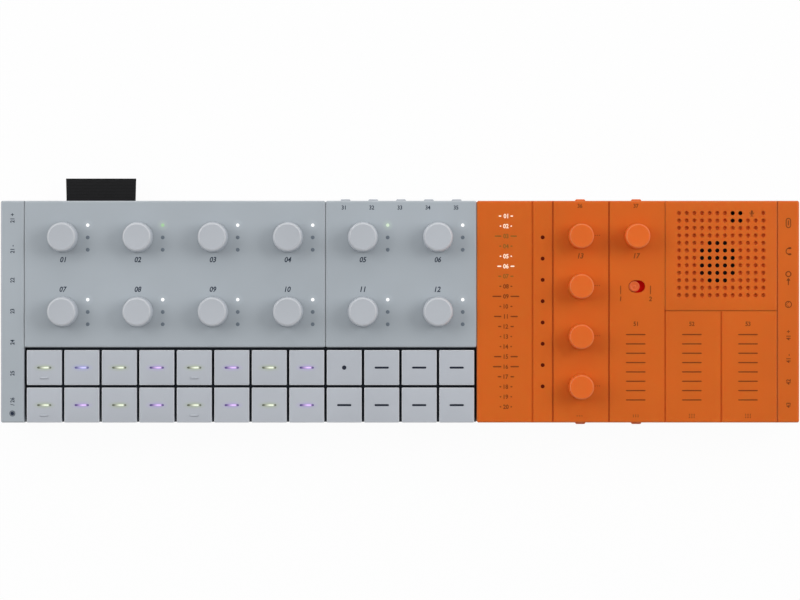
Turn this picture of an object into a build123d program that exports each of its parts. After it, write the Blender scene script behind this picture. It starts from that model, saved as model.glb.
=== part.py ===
"""Tabletop drum machine: grey drum and synth panels, orange effects panel, 17 knobs, 24 keys.

Millimetres. X runs along the case, Y towards the rear, Z up. The origin lies under the middle of the whole
plan outline, on the surface that the rubber feet stand on.
"""
import os
from math import cos, pi, sin

from build123d import *

# ---------------------------------------------------------------- driving sizes: plan, left to right
left_cap_width = 10.1  # end cap that carries the left row of side buttons
key_pitch = 16.06  # keys repeat at this pitch in both directions
key_end_room = 0.5  # extra room beside the first and the last column of keys
drum_columns = 8  # key columns under the drum panel
synth_columns = 4  # key columns under the synth panel
list_width = 23.9  # field of the effects panel that holds the list
strip_width = 8.72  # field with the row of lamps
module_pitch = 24.04  # width of one effects module
module_count = 4
right_cap_width = 9.4  # end cap with the sockets

# ---------------------------------------------------------------- driving sizes: plan, front to back
key_gap = 1.11  # open gap between two keys
panel_gap = 1.2  # gap between the rear row of keys and the panels
panel_depth = 62.79
tag_reach = 10.1  # how far the fabric tag stands out of the rear wall

# ---------------------------------------------------------------- driving sizes: heights
foot_height = 1.2
base_floor = 2.0
parting_height = 9.0  # joint between the base tray and the covers
top_height = 28.5  # top faces of the panels and keys

# ---------------------------------------------------------------- mouldings
wall = 1.8
skin = 2.0  # thickness of the panels
seam_gap = 0.2  # open joint between two covers
seam_cut = 0.55  # bevel along the seams between the modules
cap_cut = 0.45  # bevel along the seams of the end caps
edge_round = 0.8  # along the front and rear top edges
corner_cut = 0.55  # on upright corners
base_chamfer = 0.6
groove_width = 0.8
groove_depth = 0.5
window_clearance = 0.3  # all round a button in its window
inner_clearance = 0.3  # between an inner piece and the walls round it
board_thickness = 1.6

# ---------------------------------------------------------------- knobs
knob_gap = 0.4  # under a knob
knob_height = 9.1
knob_chamfer = 0.55
knob_taper = 2.7  # degrees that a knob's side leans in
track_knob_radius = 6.5  # at the foot of the knob
sound_knob_radius = 5.35
track_knob_from_rear = 15.6
track_knob_from_front = 15.29  # from the front edge of the grey panels
sound_knob_from_rear = 15.2
sound_knob_from_front = 15.3
sound_knob_count = 4
shaft_radius = 2.0
shaft_fit = 0.05  # running fit of a shaft in its encoder
shaft_hole_clearance = 0.6
encoder_size = 11.0
encoder_height = 6.5
encoder_room = 1.5  # between an encoder and the panel above it
shaft_seat = 0.5  # encoder floor under the end of the shaft

# ---------------------------------------------------------------- keys
key_height = 6.8
key_roof = 1.6
key_skirt = 1.3
key_corner = 0.45
key_edge = 0.3
key_travel = 1.0
key_rest_clearance = 0.5  # left under a fully pressed key and under its stem
key_row_count = 2
stem_size = 4.0
stem_length = 12.0
stem_clearance = 0.3
dash_length = 3.4  # raised mark near the front edge of some keys
dash_width = 0.5
dash_height = 0.25
dash_from_front = 2.8
dash_every = 4  # every fourth step key column carries it
lens_size = (6.2, 0.9)  # pocket of the lamp lens or dark bar in the middle of a key
lens_depth = 0.4
dot_radius = 0.95  # the first note key has a round pocket instead
bed_wall = 1.6
bed_roof = 2.0
bed_lip_inset = 0.3  # front edge of the bed's roof behind the case front
bed_lip_gap = 0.1  # between the bed's roof and the sill under it
key_switch_room = 0.775  # from the outer key switches to the bed walls
key_switch_height = 4.0

# ---------------------------------------------------------------- side, rear and front buttons
button_height = 4.3
button_chamfer = 0.4
button_travel = 0.4
side_proud = 0.5
edge_proud = 0.8  # rear and front buttons
button_depth = 3.2  # length of a right, rear or front button behind its wall
left_button_count = 7
left_button_from_front = 7.2
left_button_from_rear = 7.58
left_button_width = 8.0
left_switch_depth = 0.6  # low switch behind each left button
right_button_count = 4
right_button_pitch = 10.0
right_button_from_front = 7.3
right_button_width = 6.0
rear_button_count = 5
rear_button_from_seam = 8.5  # the outer ones, from each end of the synth panel
edge_button_width = 4.2
switch_depth = 3.5  # switch behind each button
switch_clearance = 0.3  # from a pressed button to its switch

# ---------------------------------------------------------------- mode slider
slot_length = 7.1
slot_width = 5.3
slider_radius = 2.2
slider_travel = 2.3
slider_proud = 0.6
slider_plate = (14.0, 8.6, 0.8)
slide_switch_size = (9.0, 6.0)

# ---------------------------------------------------------------- speaker and its grille
grille_depth = 47.15  # from the rear wall to the seam in front of the grille
grille_ledge = 1.6
hole_columns = 12
hole_rows = 12
hole_pitch_x = 3.28
hole_pitch_y = 3.20
hole_radius = 0.85
hole_sides = 6
dimple_depth = 0.8
first_hole_from_rear = 5.3
microphone_holes = {(row, column) for row in (0, 1) for column in (7, 8)}
label_holes = {(0, 9), (0, 10)}  # left plain for the legend
speaker_holes = ({(row, column) for row in (4, 9) for column in (4, 5, 6)}
                 | {(row, column) for row in (5, 6, 7, 8) for column in (3, 4, 5, 6, 7)})
speaker_size = 34.0
speaker_frame = 3.0
magnet_radius = 9.0
magnet_height = 7.0

# ---------------------------------------------------------------- sockets
jack_count = 3
jack_from_rear = 21.6
jack_pitch = 11.35
jack_bore_radius = 1.8
jack_bore_depth = 13.0
jack_collar_radius = 2.4
jack_width = 6.0
jack_height = 5.0  # of its body, which stands on the main board
jack_back = 1.5  # body behind the blind end of the bore
usb_from_rear = 9.5
usb_size = (8.94, 3.26)
usb_shell = 0.3
usb_depth = 7.3
usb_tongue = (6.69, 0.7, 4.4)

# ---------------------------------------------------------------- loose items
battery_size = (64.0, 38.0, 9.0)
battery_from_left = 62.0
foot_radius = 5.0
foot_inset = 12.0
post_size = 6.0
post_from_wall = 9.0
post_from_seam = 8.0
post_from_effect_knob = 6.0
screw_recess_radius = 2.8  # recesses of the case screws, under the base tray
screw_recess_depth = 1.0
screw_inset = 7.0  # from the front and rear walls
screw_from_end = 28.0
tag_width = 30.0
tag_thickness = 1.0
tag_tail = 2.4  # tag behind the rear wall
tag_clearance = 0.25
tag_from_left = 41.6
overrun = 1.0  # how far a cutter passes the face that it cuts

# ---------------------------------------------------------------- sides of round details that repeat
knob_sides = 24
shaft_sides = 6
disc_sides = 16
oval_steps = 6  # in each half-round end of a slot
lens_steps = 3
dot_sides = 10
recess_sides = 8

# ---------------------------------------------------------------- places worked out from the sizes above
key_size = key_pitch - key_gap
keys_depth = key_size + key_pitch
keys_length = (drum_columns + synth_columns) * key_pitch
body_depth = keys_depth + panel_gap + panel_depth
effects_width = list_width + strip_width + module_count * module_pitch
body_length = left_cap_width + keys_length + 2 * key_end_room + effects_width + right_cap_width

left, right = -body_length / 2, body_length / 2
front = (edge_proud - body_depth - tag_reach) / 2
rear = front + body_depth
panel_front = front + keys_depth + panel_gap
seam_left = left + left_cap_width
keys_left = seam_left + key_end_room
seam_drum = keys_left + drum_columns * key_pitch
seam_synth = keys_left + keys_length + key_end_room
seam_right = right - right_cap_width
half_seam = seam_gap / 2
track_knob_row_pitch = panel_depth - track_knob_from_rear - track_knob_from_front
sound_knob_pitch = (body_depth - sound_knob_from_rear - sound_knob_from_front) / (sound_knob_count - 1)
left_button_pitch = (body_depth - left_button_from_front - left_button_from_rear) / (left_button_count - 1)
rear_button_pitch = (seam_synth - seam_drum - 2 * rear_button_from_seam) / (rear_button_count - 1)
grille_front = rear - grille_depth
grille_left = seam_right - 2 * module_pitch
slot_y = rear - sound_knob_from_rear - sound_knob_pitch

floor_top = foot_height + base_floor
screw_seat = foot_height + screw_recess_depth
skin_under = top_height - skin
board_height = skin_under - encoder_room - encoder_height  # upper face of the main board
board_under = board_height - board_thickness
side_control_height = board_height + jack_height / 2  # centre line of side buttons and sockets
knob_under = top_height + knob_gap
key_under = top_height - key_height
key_rest_height = key_under - key_travel - key_rest_clearance  # highest place of what lies under a key
stem_end = top_height - stem_length
key_switch_top = stem_end - key_travel - key_rest_clearance
key_board_height = key_switch_top - key_switch_height
key_switch_size = key_size - 2 * (wall + inner_clearance + bed_wall + key_switch_room)
sill_height = key_rest_height - bed_roof
switch_gap = button_travel + switch_clearance
left_board_face = seam_left - half_seam - wall - inner_clearance - board_thickness
left_button_depth = left_board_face - left_switch_depth - switch_gap - left - wall  # the room in the cap


def block(x0, x1, y0, y1, z0, z1):
    """A box between two opposite corners."""
    return Pos((x0 + x1) / 2, (y0 + y1) / 2, (z0 + z1) / 2) * Box(x1 - x0, y1 - y0, z1 - z0)


def post(x, y, size_x, size_y, z0, z1):
    """An upright box centred on a place in the plan."""
    return block(x - size_x / 2, x + size_x / 2, y - size_y / 2, y + size_y / 2, z0, z1)


def flat_oval(length, width, steps):
    """Outline with straight long sides and half-round ends, each end drawn in a few straight steps."""
    radius = width / 2
    points = []
    for end in (1, -1):
        for step in range(steps + 1):
            angle = pi * (step / steps - 0.5)
            points.append((end * (length / 2 - radius + radius * cos(angle)), end * radius * sin(angle)))
    return Polygon(*points)


def rod(x, y, radius, sides, z0, z1):
    """An upright round bar with the given number of sides."""
    return extrude(Pos(x, y, z0) * RegularPolygon(radius, sides), amount=z1 - z0)


def hole(x, y, radius, sides, z0, z1):
    """Cutter for an upright round hole, whose sides stay clear of a bar of this radius."""
    return rod(x, y, radius / cos(pi / sides), sides, z0, z1)


def module_x(index):
    """Centre of an effects module, counted from the left."""
    return seam_right - (module_count - index - 0.5) * module_pitch


def key_place(column, row):
    """Centre of a key in the plan; row 0 is the front row."""
    return keys_left + (column + 0.5) * key_pitch, front + key_size / 2 + row * key_pitch


def key_places():
    """Centres of all keys, rear row first and left to right."""
    columns = drum_columns + synth_columns
    return [key_place(column, row) for row in reversed(range(key_row_count)) for column in range(columns)]


def track_knob_places():
    """Centres of the grey knobs, one above each pair of key columns, rear row first."""
    pairs = (drum_columns + synth_columns) // 2
    rows = [rear - track_knob_from_rear - row * track_knob_row_pitch for row in range(2)]
    return [(keys_left + (2 * pair + 1) * key_pitch, y) for y in rows for pair in range(pairs)]


def sound_knob_places():
    """Centres of the four orange sound knobs, from the rear."""
    y = rear - sound_knob_from_rear
    return [(module_x(0), y - n * sound_knob_pitch) for n in range(sound_knob_count)]


def effect_knob_place():
    """Centre of the knob of the second effects module."""
    return module_x(1), rear - sound_knob_from_rear


def slider_place():
    """Centre of the mode slider at rest, at the left end of its slot."""
    return module_x(1) - slider_travel / 2, slot_y


def left_button_ys():
    return [front + left_button_from_front + n * left_button_pitch for n in range(left_button_count)]


def right_button_ys():
    return [front + right_button_from_front + n * right_button_pitch for n in range(right_button_count)]


def jack_ys():
    return [rear - jack_from_rear - n * jack_pitch for n in range(jack_count)]


def rear_button_xs():
    """Five function buttons behind the synth panel and one behind each of the first two effects modules."""
    grey = [seam_drum + rear_button_from_seam + n * rear_button_pitch for n in range(rear_button_count)]
    return grey + [module_x(0), module_x(1)]


def front_button_xs():
    return [module_x(0), module_x(1)]


# ---------------------------------------------------------------- button windows
def window_x(face, y, width):
    """Cutter for a side button's window, through the end wall at x = face."""
    half_width, half = width / 2 + window_clearance, button_height / 2 + window_clearance
    reach = wall + overrun
    return block(face - reach, face + reach, y - half_width, y + half_width,
                 side_control_height - half, side_control_height + half)


def window_y(face, x):
    """Cutter for a rear or front button's window, through the wall at y = face."""
    half_width, half = edge_button_width / 2 + window_clearance, button_height / 2 + window_clearance
    reach = wall + overrun
    return block(x - half_width, x + half_width, face - reach, face + reach,
                 side_control_height - half, side_control_height + half)


# ---------------------------------------------------------------- base, covers and end caps
def board_post_places():
    """Posts of the base tray that carry the main board."""
    columns = (seam_left + post_from_seam, seam_drum, seam_synth, module_x(1) - post_from_effect_knob)
    rows = (panel_front + post_from_wall, rear - post_from_wall)
    return [(x, y) for x in columns for y in rows] + [(module_x(3), front + post_from_wall)]


def screw_places():
    """Case screws, three along the front wall and three along the rear wall."""
    columns = (left + screw_from_end, 0, right - screw_from_end)
    return [(x, y) for x in columns for y in (front + screw_inset, rear - screw_inset)]


def base_tray():
    """Tray with cut corners, a sill in front of the key bed, posts for the main board and screw recesses."""
    tray = block(left, right, front, rear, foot_height, parting_height)
    tray = chamfer(tray.edges().filter_by(Axis.Z), corner_cut)
    tray = chamfer(tray.edges().group_by(Axis.Z)[0], base_chamfer)
    tray -= block(left + wall, right - wall, front + wall, rear - wall, floor_top, parting_height + overrun)
    x0, x1 = seam_left + half_seam, seam_synth - half_seam
    tray += block(x0, x1, front, front + wall, parting_height, sill_height)
    for x, y in board_post_places():
        tray += post(x, y, post_size, post_size, floor_top, board_under)
    for x, y in screw_places():
        tray -= rod(x, y, screw_recess_radius, recess_sides, foot_height - overrun, screw_seat)
    return tray


def cover(x0, x1, y0, front_wall_foot, module_ends):
    """Panel moulding of inverted U section: a rounded top skin, a rear wall and a front wall.

    Both seam edges of the top are bevelled. module_ends lists the ends that meet another module, 0 for the
    left and -1 for the right; their upright corners are taken off as well.
    """
    shell = block(x0, x1, y0, rear, parting_height, top_height)
    for end in (0, -1):
        if end in module_ends:
            shell = chamfer(shell.edges().filter_by(Axis.Z).group_by(Axis.X)[end], corner_cut)
        seam = shell.edges().group_by(Axis.Z)[-1].filter_by(Axis.Y).group_by(Axis.X)[end]
        shell = chamfer(seam, seam_cut if end in module_ends else cap_cut)
    shell = fillet(shell.edges().group_by(Axis.Z)[-1].filter_by(Axis.X), edge_round)
    shell -= block(x0 - overrun, x1 + overrun, y0 + wall, rear - wall, parting_height - overrun, skin_under)
    if front_wall_foot > parting_height:
        shell -= block(x0 - overrun, x1 + overrun, y0 - overrun, y0 + wall,
                       parting_height - overrun, front_wall_foot)
    return shell


def shaft_hole(x, y):
    """Cutter for the hole that a knob's shaft passes through."""
    radius = shaft_radius + shaft_hole_clearance
    return hole(x, y, radius, shaft_sides, skin_under - overrun, top_height + overrun)


def grey_cover(x0, x1, module_ends):
    """A drum or synth panel, with the holes of the knobs that stand on it."""
    shell = cover(x0 + half_seam, x1 - half_seam, panel_front, key_rest_height, module_ends)
    for x, y in track_knob_places():
        if x0 < x < x1:
            shell -= shaft_hole(x, y)
    return shell


def drum_cover():
    shell = grey_cover(seam_left, seam_drum, (-1,))
    x0 = left + tag_from_left - tag_width / 2 - tag_clearance
    x1 = left + tag_from_left + tag_width / 2 + tag_clearance
    slot_top = parting_height + tag_thickness + 2 * tag_clearance
    return shell - block(x0, x1, rear - wall - overrun, rear + overrun, parting_height - overrun, slot_top)


def synth_cover():
    shell = grey_cover(seam_drum, seam_synth, (0, -1))
    for x in rear_button_xs()[:rear_button_count]:
        shell -= window_y(rear, x)
    return shell


def effects_cover():
    """Orange panel: a wall beside the keys, engraved seams, knob holes, the slider slot and a grille seat."""
    x0, x1 = seam_synth + half_seam, seam_right - half_seam
    shell = cover(x0, x1, front, parting_height, (0,))
    shell += block(x0, x0 + wall, front + wall, panel_front + wall, parting_height, skin_under)
    shell -= block(grille_left - half_seam, x1 + overrun, grille_front - half_seam, rear + overrun,
                   skin_under, top_height + overrun)
    shell += block(grille_left - grille_ledge, x1, grille_front - grille_ledge, grille_front + grille_ledge,
                   skin_under - grille_ledge, skin_under)
    shell += block(grille_left - grille_ledge, grille_left + grille_ledge, grille_front, rear - wall,
                   skin_under - grille_ledge, skin_under)
    list_edge = seam_synth + list_width
    for x in (list_edge, list_edge + strip_width, module_x(1) - module_pitch / 2):
        shell -= groove(x, front, rear)
    shell -= groove(grille_left, front, grille_front)
    shell -= groove(module_x(3) - module_pitch / 2, front, grille_front)
    for x, y in sound_knob_places() + [effect_knob_place()]:
        shell -= shaft_hole(x, y)
    slot = Pos(module_x(1), slot_y, skin_under - overrun) * flat_oval(slot_length, slot_width, oval_steps)
    shell -= extrude(slot, amount=skin + 2 * overrun)
    for x in front_button_xs():
        shell -= window_y(front, x) + window_y(rear, x)
    return shell


def groove(x, y0, y1):
    """Cutter for an engraved seam along Y."""
    return block(x - groove_width / 2, x + groove_width / 2, y0 - overrun, y1 + overrun,
                 top_height - groove_depth, top_height + overrun)


def end_cap(x0, x1, outer, inner_wall):
    """End moulding with cut outer corners; outer is -1 at the left end and 1 at the right."""
    cap = block(x0, x1, front, rear, parting_height, top_height)
    corners = cap.edges().filter_by(Axis.Z).group_by(Axis.X)
    cap = chamfer(corners[0] if outer < 0 else corners[-1], corner_cut)
    top = cap.edges().group_by(Axis.Z)[-1].sort_by(Axis.X, reverse=outer < 0)
    cap = chamfer(top[0], cap_cut)
    seam = cap.edges().group_by(Axis.Z)[-1].sort_by(Axis.X, reverse=outer < 0)[0]
    cap = fillet([edge for edge in cap.edges().group_by(Axis.Z)[-1] if edge != seam], edge_round)
    cavity_left = x0 + (wall if outer < 0 else -overrun)
    cavity_right = x1 - (wall if outer > 0 or inner_wall else -overrun)
    return cap - block(cavity_left, cavity_right, front + wall, rear - wall,
                       parting_height - overrun, skin_under)


def left_end_cap():
    cap = end_cap(left, seam_left - half_seam, -1, inner_wall=True)
    for y in left_button_ys():
        cap -= window_x(left, y, left_button_width)
    return cap


def right_end_cap():
    cap = end_cap(seam_right + half_seam, right, 1, inner_wall=False)
    for y in right_button_ys():
        cap -= window_x(right, y, right_button_width)
    x0, x1 = right - wall - overrun, right + overrun
    collar_hole = (jack_collar_radius + window_clearance) / cos(pi / disc_sides)
    for y in jack_ys():
        cap -= rod_x(y, collar_hole, x0, x1)
    return cap - usb_prism(window_clearance, x0, x1)


def rod_x(y, radius, x0, x1):
    """A round bar along X on the centre line of the side controls."""
    outline = Plane.YZ * RegularPolygon(radius, disc_sides)
    return Pos(x0, y, side_control_height) * extrude(outline, amount=x1 - x0)


def usb_prism(grow, x0, x1):
    """The rounded outline of the USB-C shell, grown all round, carried along X."""
    outline = Plane.YZ * flat_oval(usb_size[0] + 2 * grow, usb_size[1] + 2 * grow, oval_steps)
    return Pos(x0, rear - usb_from_rear, side_control_height) * extrude(outline, amount=x1 - x0)


def speaker_grille():
    """Flush plate with blind dimples, and open holes over the speaker and the microphone."""
    x0, x1 = grille_left + half_seam, seam_right - half_seam
    plate = block(x0, x1, grille_front + half_seam, rear, skin_under, top_height)
    plate = fillet(plate.edges().group_by(Axis.Z)[-1], edge_round)
    first_x = (grille_left + seam_right) / 2 - (hole_columns - 1) / 2 * hole_pitch_x
    open_places, blind_places = [], []
    for row in range(hole_rows):
        for column in range(hole_columns):
            place = (first_x + column * hole_pitch_x, rear - first_hole_from_rear - row * hole_pitch_y)
            if (row, column) in microphone_holes | speaker_holes:
                open_places.append(place)
            elif (row, column) not in label_holes:
                blind_places.append(place)
    rim = Pos(0, 0, top_height) * RegularPolygon(hole_radius, hole_sides)
    dimple = loft([rim.face(), Vertex(0, 0, top_height - dimple_depth)], ruled=True)
    through = rod(0, 0, hole_radius, hole_sides, skin_under - overrun, top_height + overrun)
    cutters = [Pos(x, y) * through for x, y in open_places] + [Pos(x, y) * dimple for x, y in blind_places]
    return plate - cutters


# ---------------------------------------------------------------- knobs
def knob(x, y, radius):
    """Slightly tapered knob with a bevelled rim, in one piece with its encoder shaft."""
    foot = Pos(x, y, knob_under) * RegularPolygon(radius, knob_sides)
    cap = extrude(foot, amount=knob_height, taper=knob_taper)
    cap = chamfer(cap.edges().group_by(Axis.Z)[-1], knob_chamfer)
    return cap + rod(x, y, shaft_radius, shaft_sides, board_height + 2 * shaft_seat, knob_under)


# ---------------------------------------------------------------- keys and what they stand in
def key(x, y, pocket, dashed):
    """Hollow bevelled key cap with a shallow pocket, on a square stem; a dashed key has a raised mark."""
    half = key_size / 2
    cap = block(x - half, x + half, y - half, y + half, key_under, top_height)
    cap = chamfer(cap.edges().filter_by(Axis.Z), key_corner)
    cap = chamfer(cap.edges().group_by(Axis.Z)[-1], key_edge)
    inner = key_size - 2 * key_skirt
    cap -= post(x, y, inner, inner, key_under - overrun, top_height - key_roof)
    cap += post(x, y, stem_size, stem_size, stem_end, top_height - key_roof)
    cap -= extrude(Pos(x, y, top_height - lens_depth) * pocket, amount=lens_depth + overrun)
    if dashed:
        cap += post(x, y - half + dash_from_front, dash_length, dash_width, top_height - key_roof / 2,
                    top_height + dash_height)
    return cap


def key_bed():
    """Black box under the keys: its roof guides every stem and reaches over the sill of the base tray."""
    x0, x1 = seam_left + inner_clearance, seam_synth - inner_clearance
    y0, y1 = front + wall + inner_clearance, panel_front - inner_clearance
    roof_under = key_rest_height - bed_roof
    bed = block(x0, x1, y0, y1, floor_top, key_rest_height)
    bed -= block(x0 + bed_wall, x1 - bed_wall, y0 + bed_wall, y1 - bed_wall, floor_top - overrun, roof_under)
    bed += block(x0, x1, front + bed_lip_inset, y0, sill_height + bed_lip_gap, key_rest_height)
    guide = stem_size + 2 * stem_clearance
    for x, y in key_places():
        bed -= post(x, y, guide, guide, roof_under - overrun, key_rest_height + overrun)
    return bed


# ---------------------------------------------------------------- buttons in the walls
def side_button(face, outer, y, width, depth):
    """A button along X whose outer face stands proud of the end wall at x = face."""
    tip, tail = face + outer * side_proud, face - outer * (wall + depth)
    half = button_height / 2
    cap = block(min(tip, tail), max(tip, tail), y - width / 2, y + width / 2,
                side_control_height - half, side_control_height + half)
    outer_edges = cap.edges().group_by(Axis.X)[-1 if outer > 0 else 0]
    return chamfer(outer_edges, button_chamfer)


def side_buttons(face, outer, ys, width, depth):
    return Compound([side_button(face, outer, y, width, depth) for y in ys])


def edge_button(face, outer, x):
    """A button along Y whose outer face stands proud of the rear or front wall at y = face."""
    tip, tail = face + outer * edge_proud, face - outer * (wall + button_depth)
    half = button_height / 2
    cap = block(x - edge_button_width / 2, x + edge_button_width / 2, min(tip, tail), max(tip, tail),
                side_control_height - half, side_control_height + half)
    outer_edges = cap.edges().group_by(Axis.Y)[-1 if outer > 0 else 0]
    return chamfer(outer_edges, button_chamfer)


def edge_buttons(face, outer, xs):
    return Compound([edge_button(face, outer, x) for x in xs])


def mode_slider():
    """Round button on a plate that slides under the panel."""
    x, y = slider_place()
    length, width, thickness = slider_plate
    plate_top = skin_under - inner_clearance
    slider = post(x, y, length, width, plate_top - thickness, plate_top)
    return slider + rod(x, y, slider_radius, disc_sides, plate_top - thickness / 2, top_height + slider_proud)


# ---------------------------------------------------------------- inner pieces
def encoder(x, y):
    """Square encoder body on the main board, bored for its shaft."""
    body = post(x, y, encoder_size, encoder_size, board_height, board_height + encoder_height)
    return body - hole(x, y, shaft_radius + shaft_fit, shaft_sides, board_height + shaft_seat,
                       board_height + encoder_height + overrun)


def key_switches():
    """The key board and one switch under each stem."""
    x0 = seam_left + 2 * inner_clearance + bed_wall
    x1 = seam_synth - 2 * inner_clearance - bed_wall
    y0 = front + wall + 2 * inner_clearance + bed_wall
    y1 = panel_front - 2 * inner_clearance - bed_wall
    board = block(x0, x1, y0, y1, key_board_height - board_thickness, key_board_height)
    for x, y in key_places():
        board += post(x, y, key_switch_size, key_switch_size, key_board_height, key_switch_top)
    return board


def main_board():
    """Board under all three panels, stepped round the speaker and the key bed, with its switches."""
    edge = wall + inner_clearance
    x0 = seam_left + inner_clearance
    board = block(x0, grille_left, panel_front + edge, rear - edge, board_under, board_height)
    board += block(seam_synth + seam_gap + edge, seam_right, front + edge, grille_front - 2 * grille_ledge,
                   board_under, board_height)
    board += block(seam_right - wall, right - edge, front + edge, rear - edge, board_under, board_height)
    top = side_control_height + button_height / 2
    near = wall + button_depth + switch_gap
    far = near + switch_depth
    half = edge_button_width / 2
    for x in rear_button_xs():
        board += block(x - half, x + half, rear - far, rear - near, board_under, top)
    for x in front_button_xs():
        board += block(x - half, x + half, front + near, front + far, board_under, top)
    for y in right_button_ys():
        board += block(right - far, right - near, y - half, y + half, board_under, top)
    x, y = module_x(1), slot_y
    switch_top = skin_under - 2 * inner_clearance - slider_plate[2]
    return board + post(x, y, *slide_switch_size, board_under, switch_top)


def left_switch_board():
    """Upright board in the left end cap, with a switch behind each side button."""
    face = left_board_face
    edge = wall + inner_clearance
    half = button_height / 2
    low, high = side_control_height - half, side_control_height + half
    board = block(face, face + board_thickness, front + edge, rear - edge, low - half, high)
    for y in left_button_ys():
        board += block(face - left_switch_depth, face, y - half, y + half, low, high)
    return board


def circuit_board():
    """All boards with what is soldered to them."""
    encoders = [encoder(x, y) for x, y in track_knob_places() + sound_knob_places() + [effect_knob_place()]]
    return Compound([main_board(), key_switches(), left_switch_board()] + encoders)


def speaker():
    """Square-framed driver with a round magnet, hung under the grille."""
    x, y = (grille_left + seam_right) / 2, (grille_front + rear) / 2
    frame = post(x, y, speaker_size, speaker_size, skin_under - speaker_frame, skin_under)
    low = skin_under - speaker_frame - magnet_height
    return frame + rod(x, y, magnet_radius, disc_sides, low, skin_under - speaker_frame / 2)


def jack(y):
    """Jack socket: a body on the board and a collar that ends flush with the end cap."""
    inner = right - jack_bore_depth - jack_back
    half = jack_width / 2
    body = block(inner, right - wall - inner_clearance, y - half, y + half, board_height,
                 board_height + jack_height)
    body += rod_x(y, jack_collar_radius, right - wall - 2 * inner_clearance, right)
    bore = extrude(Plane.YZ * Circle(jack_bore_radius), amount=jack_bore_depth + overrun)
    return body - Pos(right - jack_bore_depth, y, side_control_height) * bore


def usb_socket():
    """USB-C receptacle: an open shell with its tongue, on a foot that reaches the board."""
    width, thickness, length = usb_tongue
    y = rear - usb_from_rear
    inner = right - usb_depth
    shell = usb_prism(0, inner, right) - usb_prism(-usb_shell, inner + usb_shell, right + overrun)
    shell += block(inner, inner + usb_shell + length, y - width / 2, y + width / 2,
                   side_control_height - thickness / 2, side_control_height + thickness / 2)
    return shell + block(inner, right - wall - inner_clearance, y - width / 2, y + width / 2, board_height,
                         side_control_height - usb_size[1] / 2 + usb_shell / 2)


def side_sockets():
    return Compound([jack(y) for y in jack_ys()] + [usb_socket()])


def battery():
    length, width, height = battery_size
    x, y = left + battery_from_left, (panel_front + rear) / 2
    return post(x, y, length, width, floor_top, floor_top + height)


def feet():
    """Four rubber discs under the base tray."""
    columns = (left + foot_inset, right - foot_inset)
    rows = (front + foot_inset, rear - foot_inset)
    return Compound([rod(x, y, foot_radius, disc_sides, 0, foot_height) for x in columns for y in rows])


def fabric_tag():
    """Folded woven loop, held between the rear wall of the drum cover and the base tray."""
    x = left + tag_from_left
    half = tag_width / 2
    z0 = parting_height + tag_clearance
    return block(x - half, x + half, rear - wall - tag_tail, rear + tag_reach, z0, z0 + tag_thickness)


def main():
    nodes = {
        "base_tray": base_tray(),
        "drum_cover": drum_cover(),
        "synth_cover": synth_cover(),
        "effects_cover": effects_cover(),
        "left_end_cap": left_end_cap(),
        "right_end_cap": right_end_cap(),
        "speaker_grille": speaker_grille(),
        "key_bed": key_bed(),
        "circuit_board": circuit_board(),
        "speaker": speaker(),
        "battery": battery(),
        "side_sockets": side_sockets(),
        "feet": feet(),
        "fabric_tag": fabric_tag(),
        "mode_slider": mode_slider(),
        "left_side_buttons": side_buttons(left, -1, left_button_ys(), left_button_width, left_button_depth),
        "right_side_buttons": side_buttons(right, 1, right_button_ys(), right_button_width, button_depth),
        "rear_buttons": edge_buttons(rear, 1, rear_button_xs()),
        "front_buttons": edge_buttons(front, -1, front_button_xs()),
    }
    for n, (x, y) in enumerate(track_knob_places(), start=1):
        nodes[f"track_knob_{n:02d}"] = knob(x, y, track_knob_radius)
    for n, (x, y) in enumerate(sound_knob_places(), start=1):
        nodes[f"sound_knob_{n}"] = knob(x, y, sound_knob_radius)
    nodes["effect_knob"] = knob(*effect_knob_place(), sound_knob_radius)

    columns = drum_columns + synth_columns
    slot_pocket = flat_oval(*lens_size, lens_steps)
    dot_pocket = RegularPolygon(dot_radius, dot_sides)
    step, note = 1, 1
    for n, (x, y) in enumerate(key_places()):
        column = n % columns
        if column < drum_columns:
            nodes[f"step_key_{step:02d}"] = key(x, y, slot_pocket, dashed=column % dash_every == 0)
            step += 1
        else:
            nodes[f"note_key_{note}"] = key(x, y, dot_pocket if note == 1 else slot_pocket, dashed=False)
            note += 1

    os.makedirs("parts", exist_ok=True)
    for name, shape in nodes.items():
        export_step(shape, f"parts/{name}.step")


main()
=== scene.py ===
"""Looks of a tabletop drum machine: knobs, lit key lenses, a dimpled grille, printed marks and a woven tag.

The frame is in metres: X runs along the case, Y towards the rear and Z up. Sizes and places are written in
millimetres, and piece() multiplies them by MM.
"""

from math import pi, radians

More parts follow.
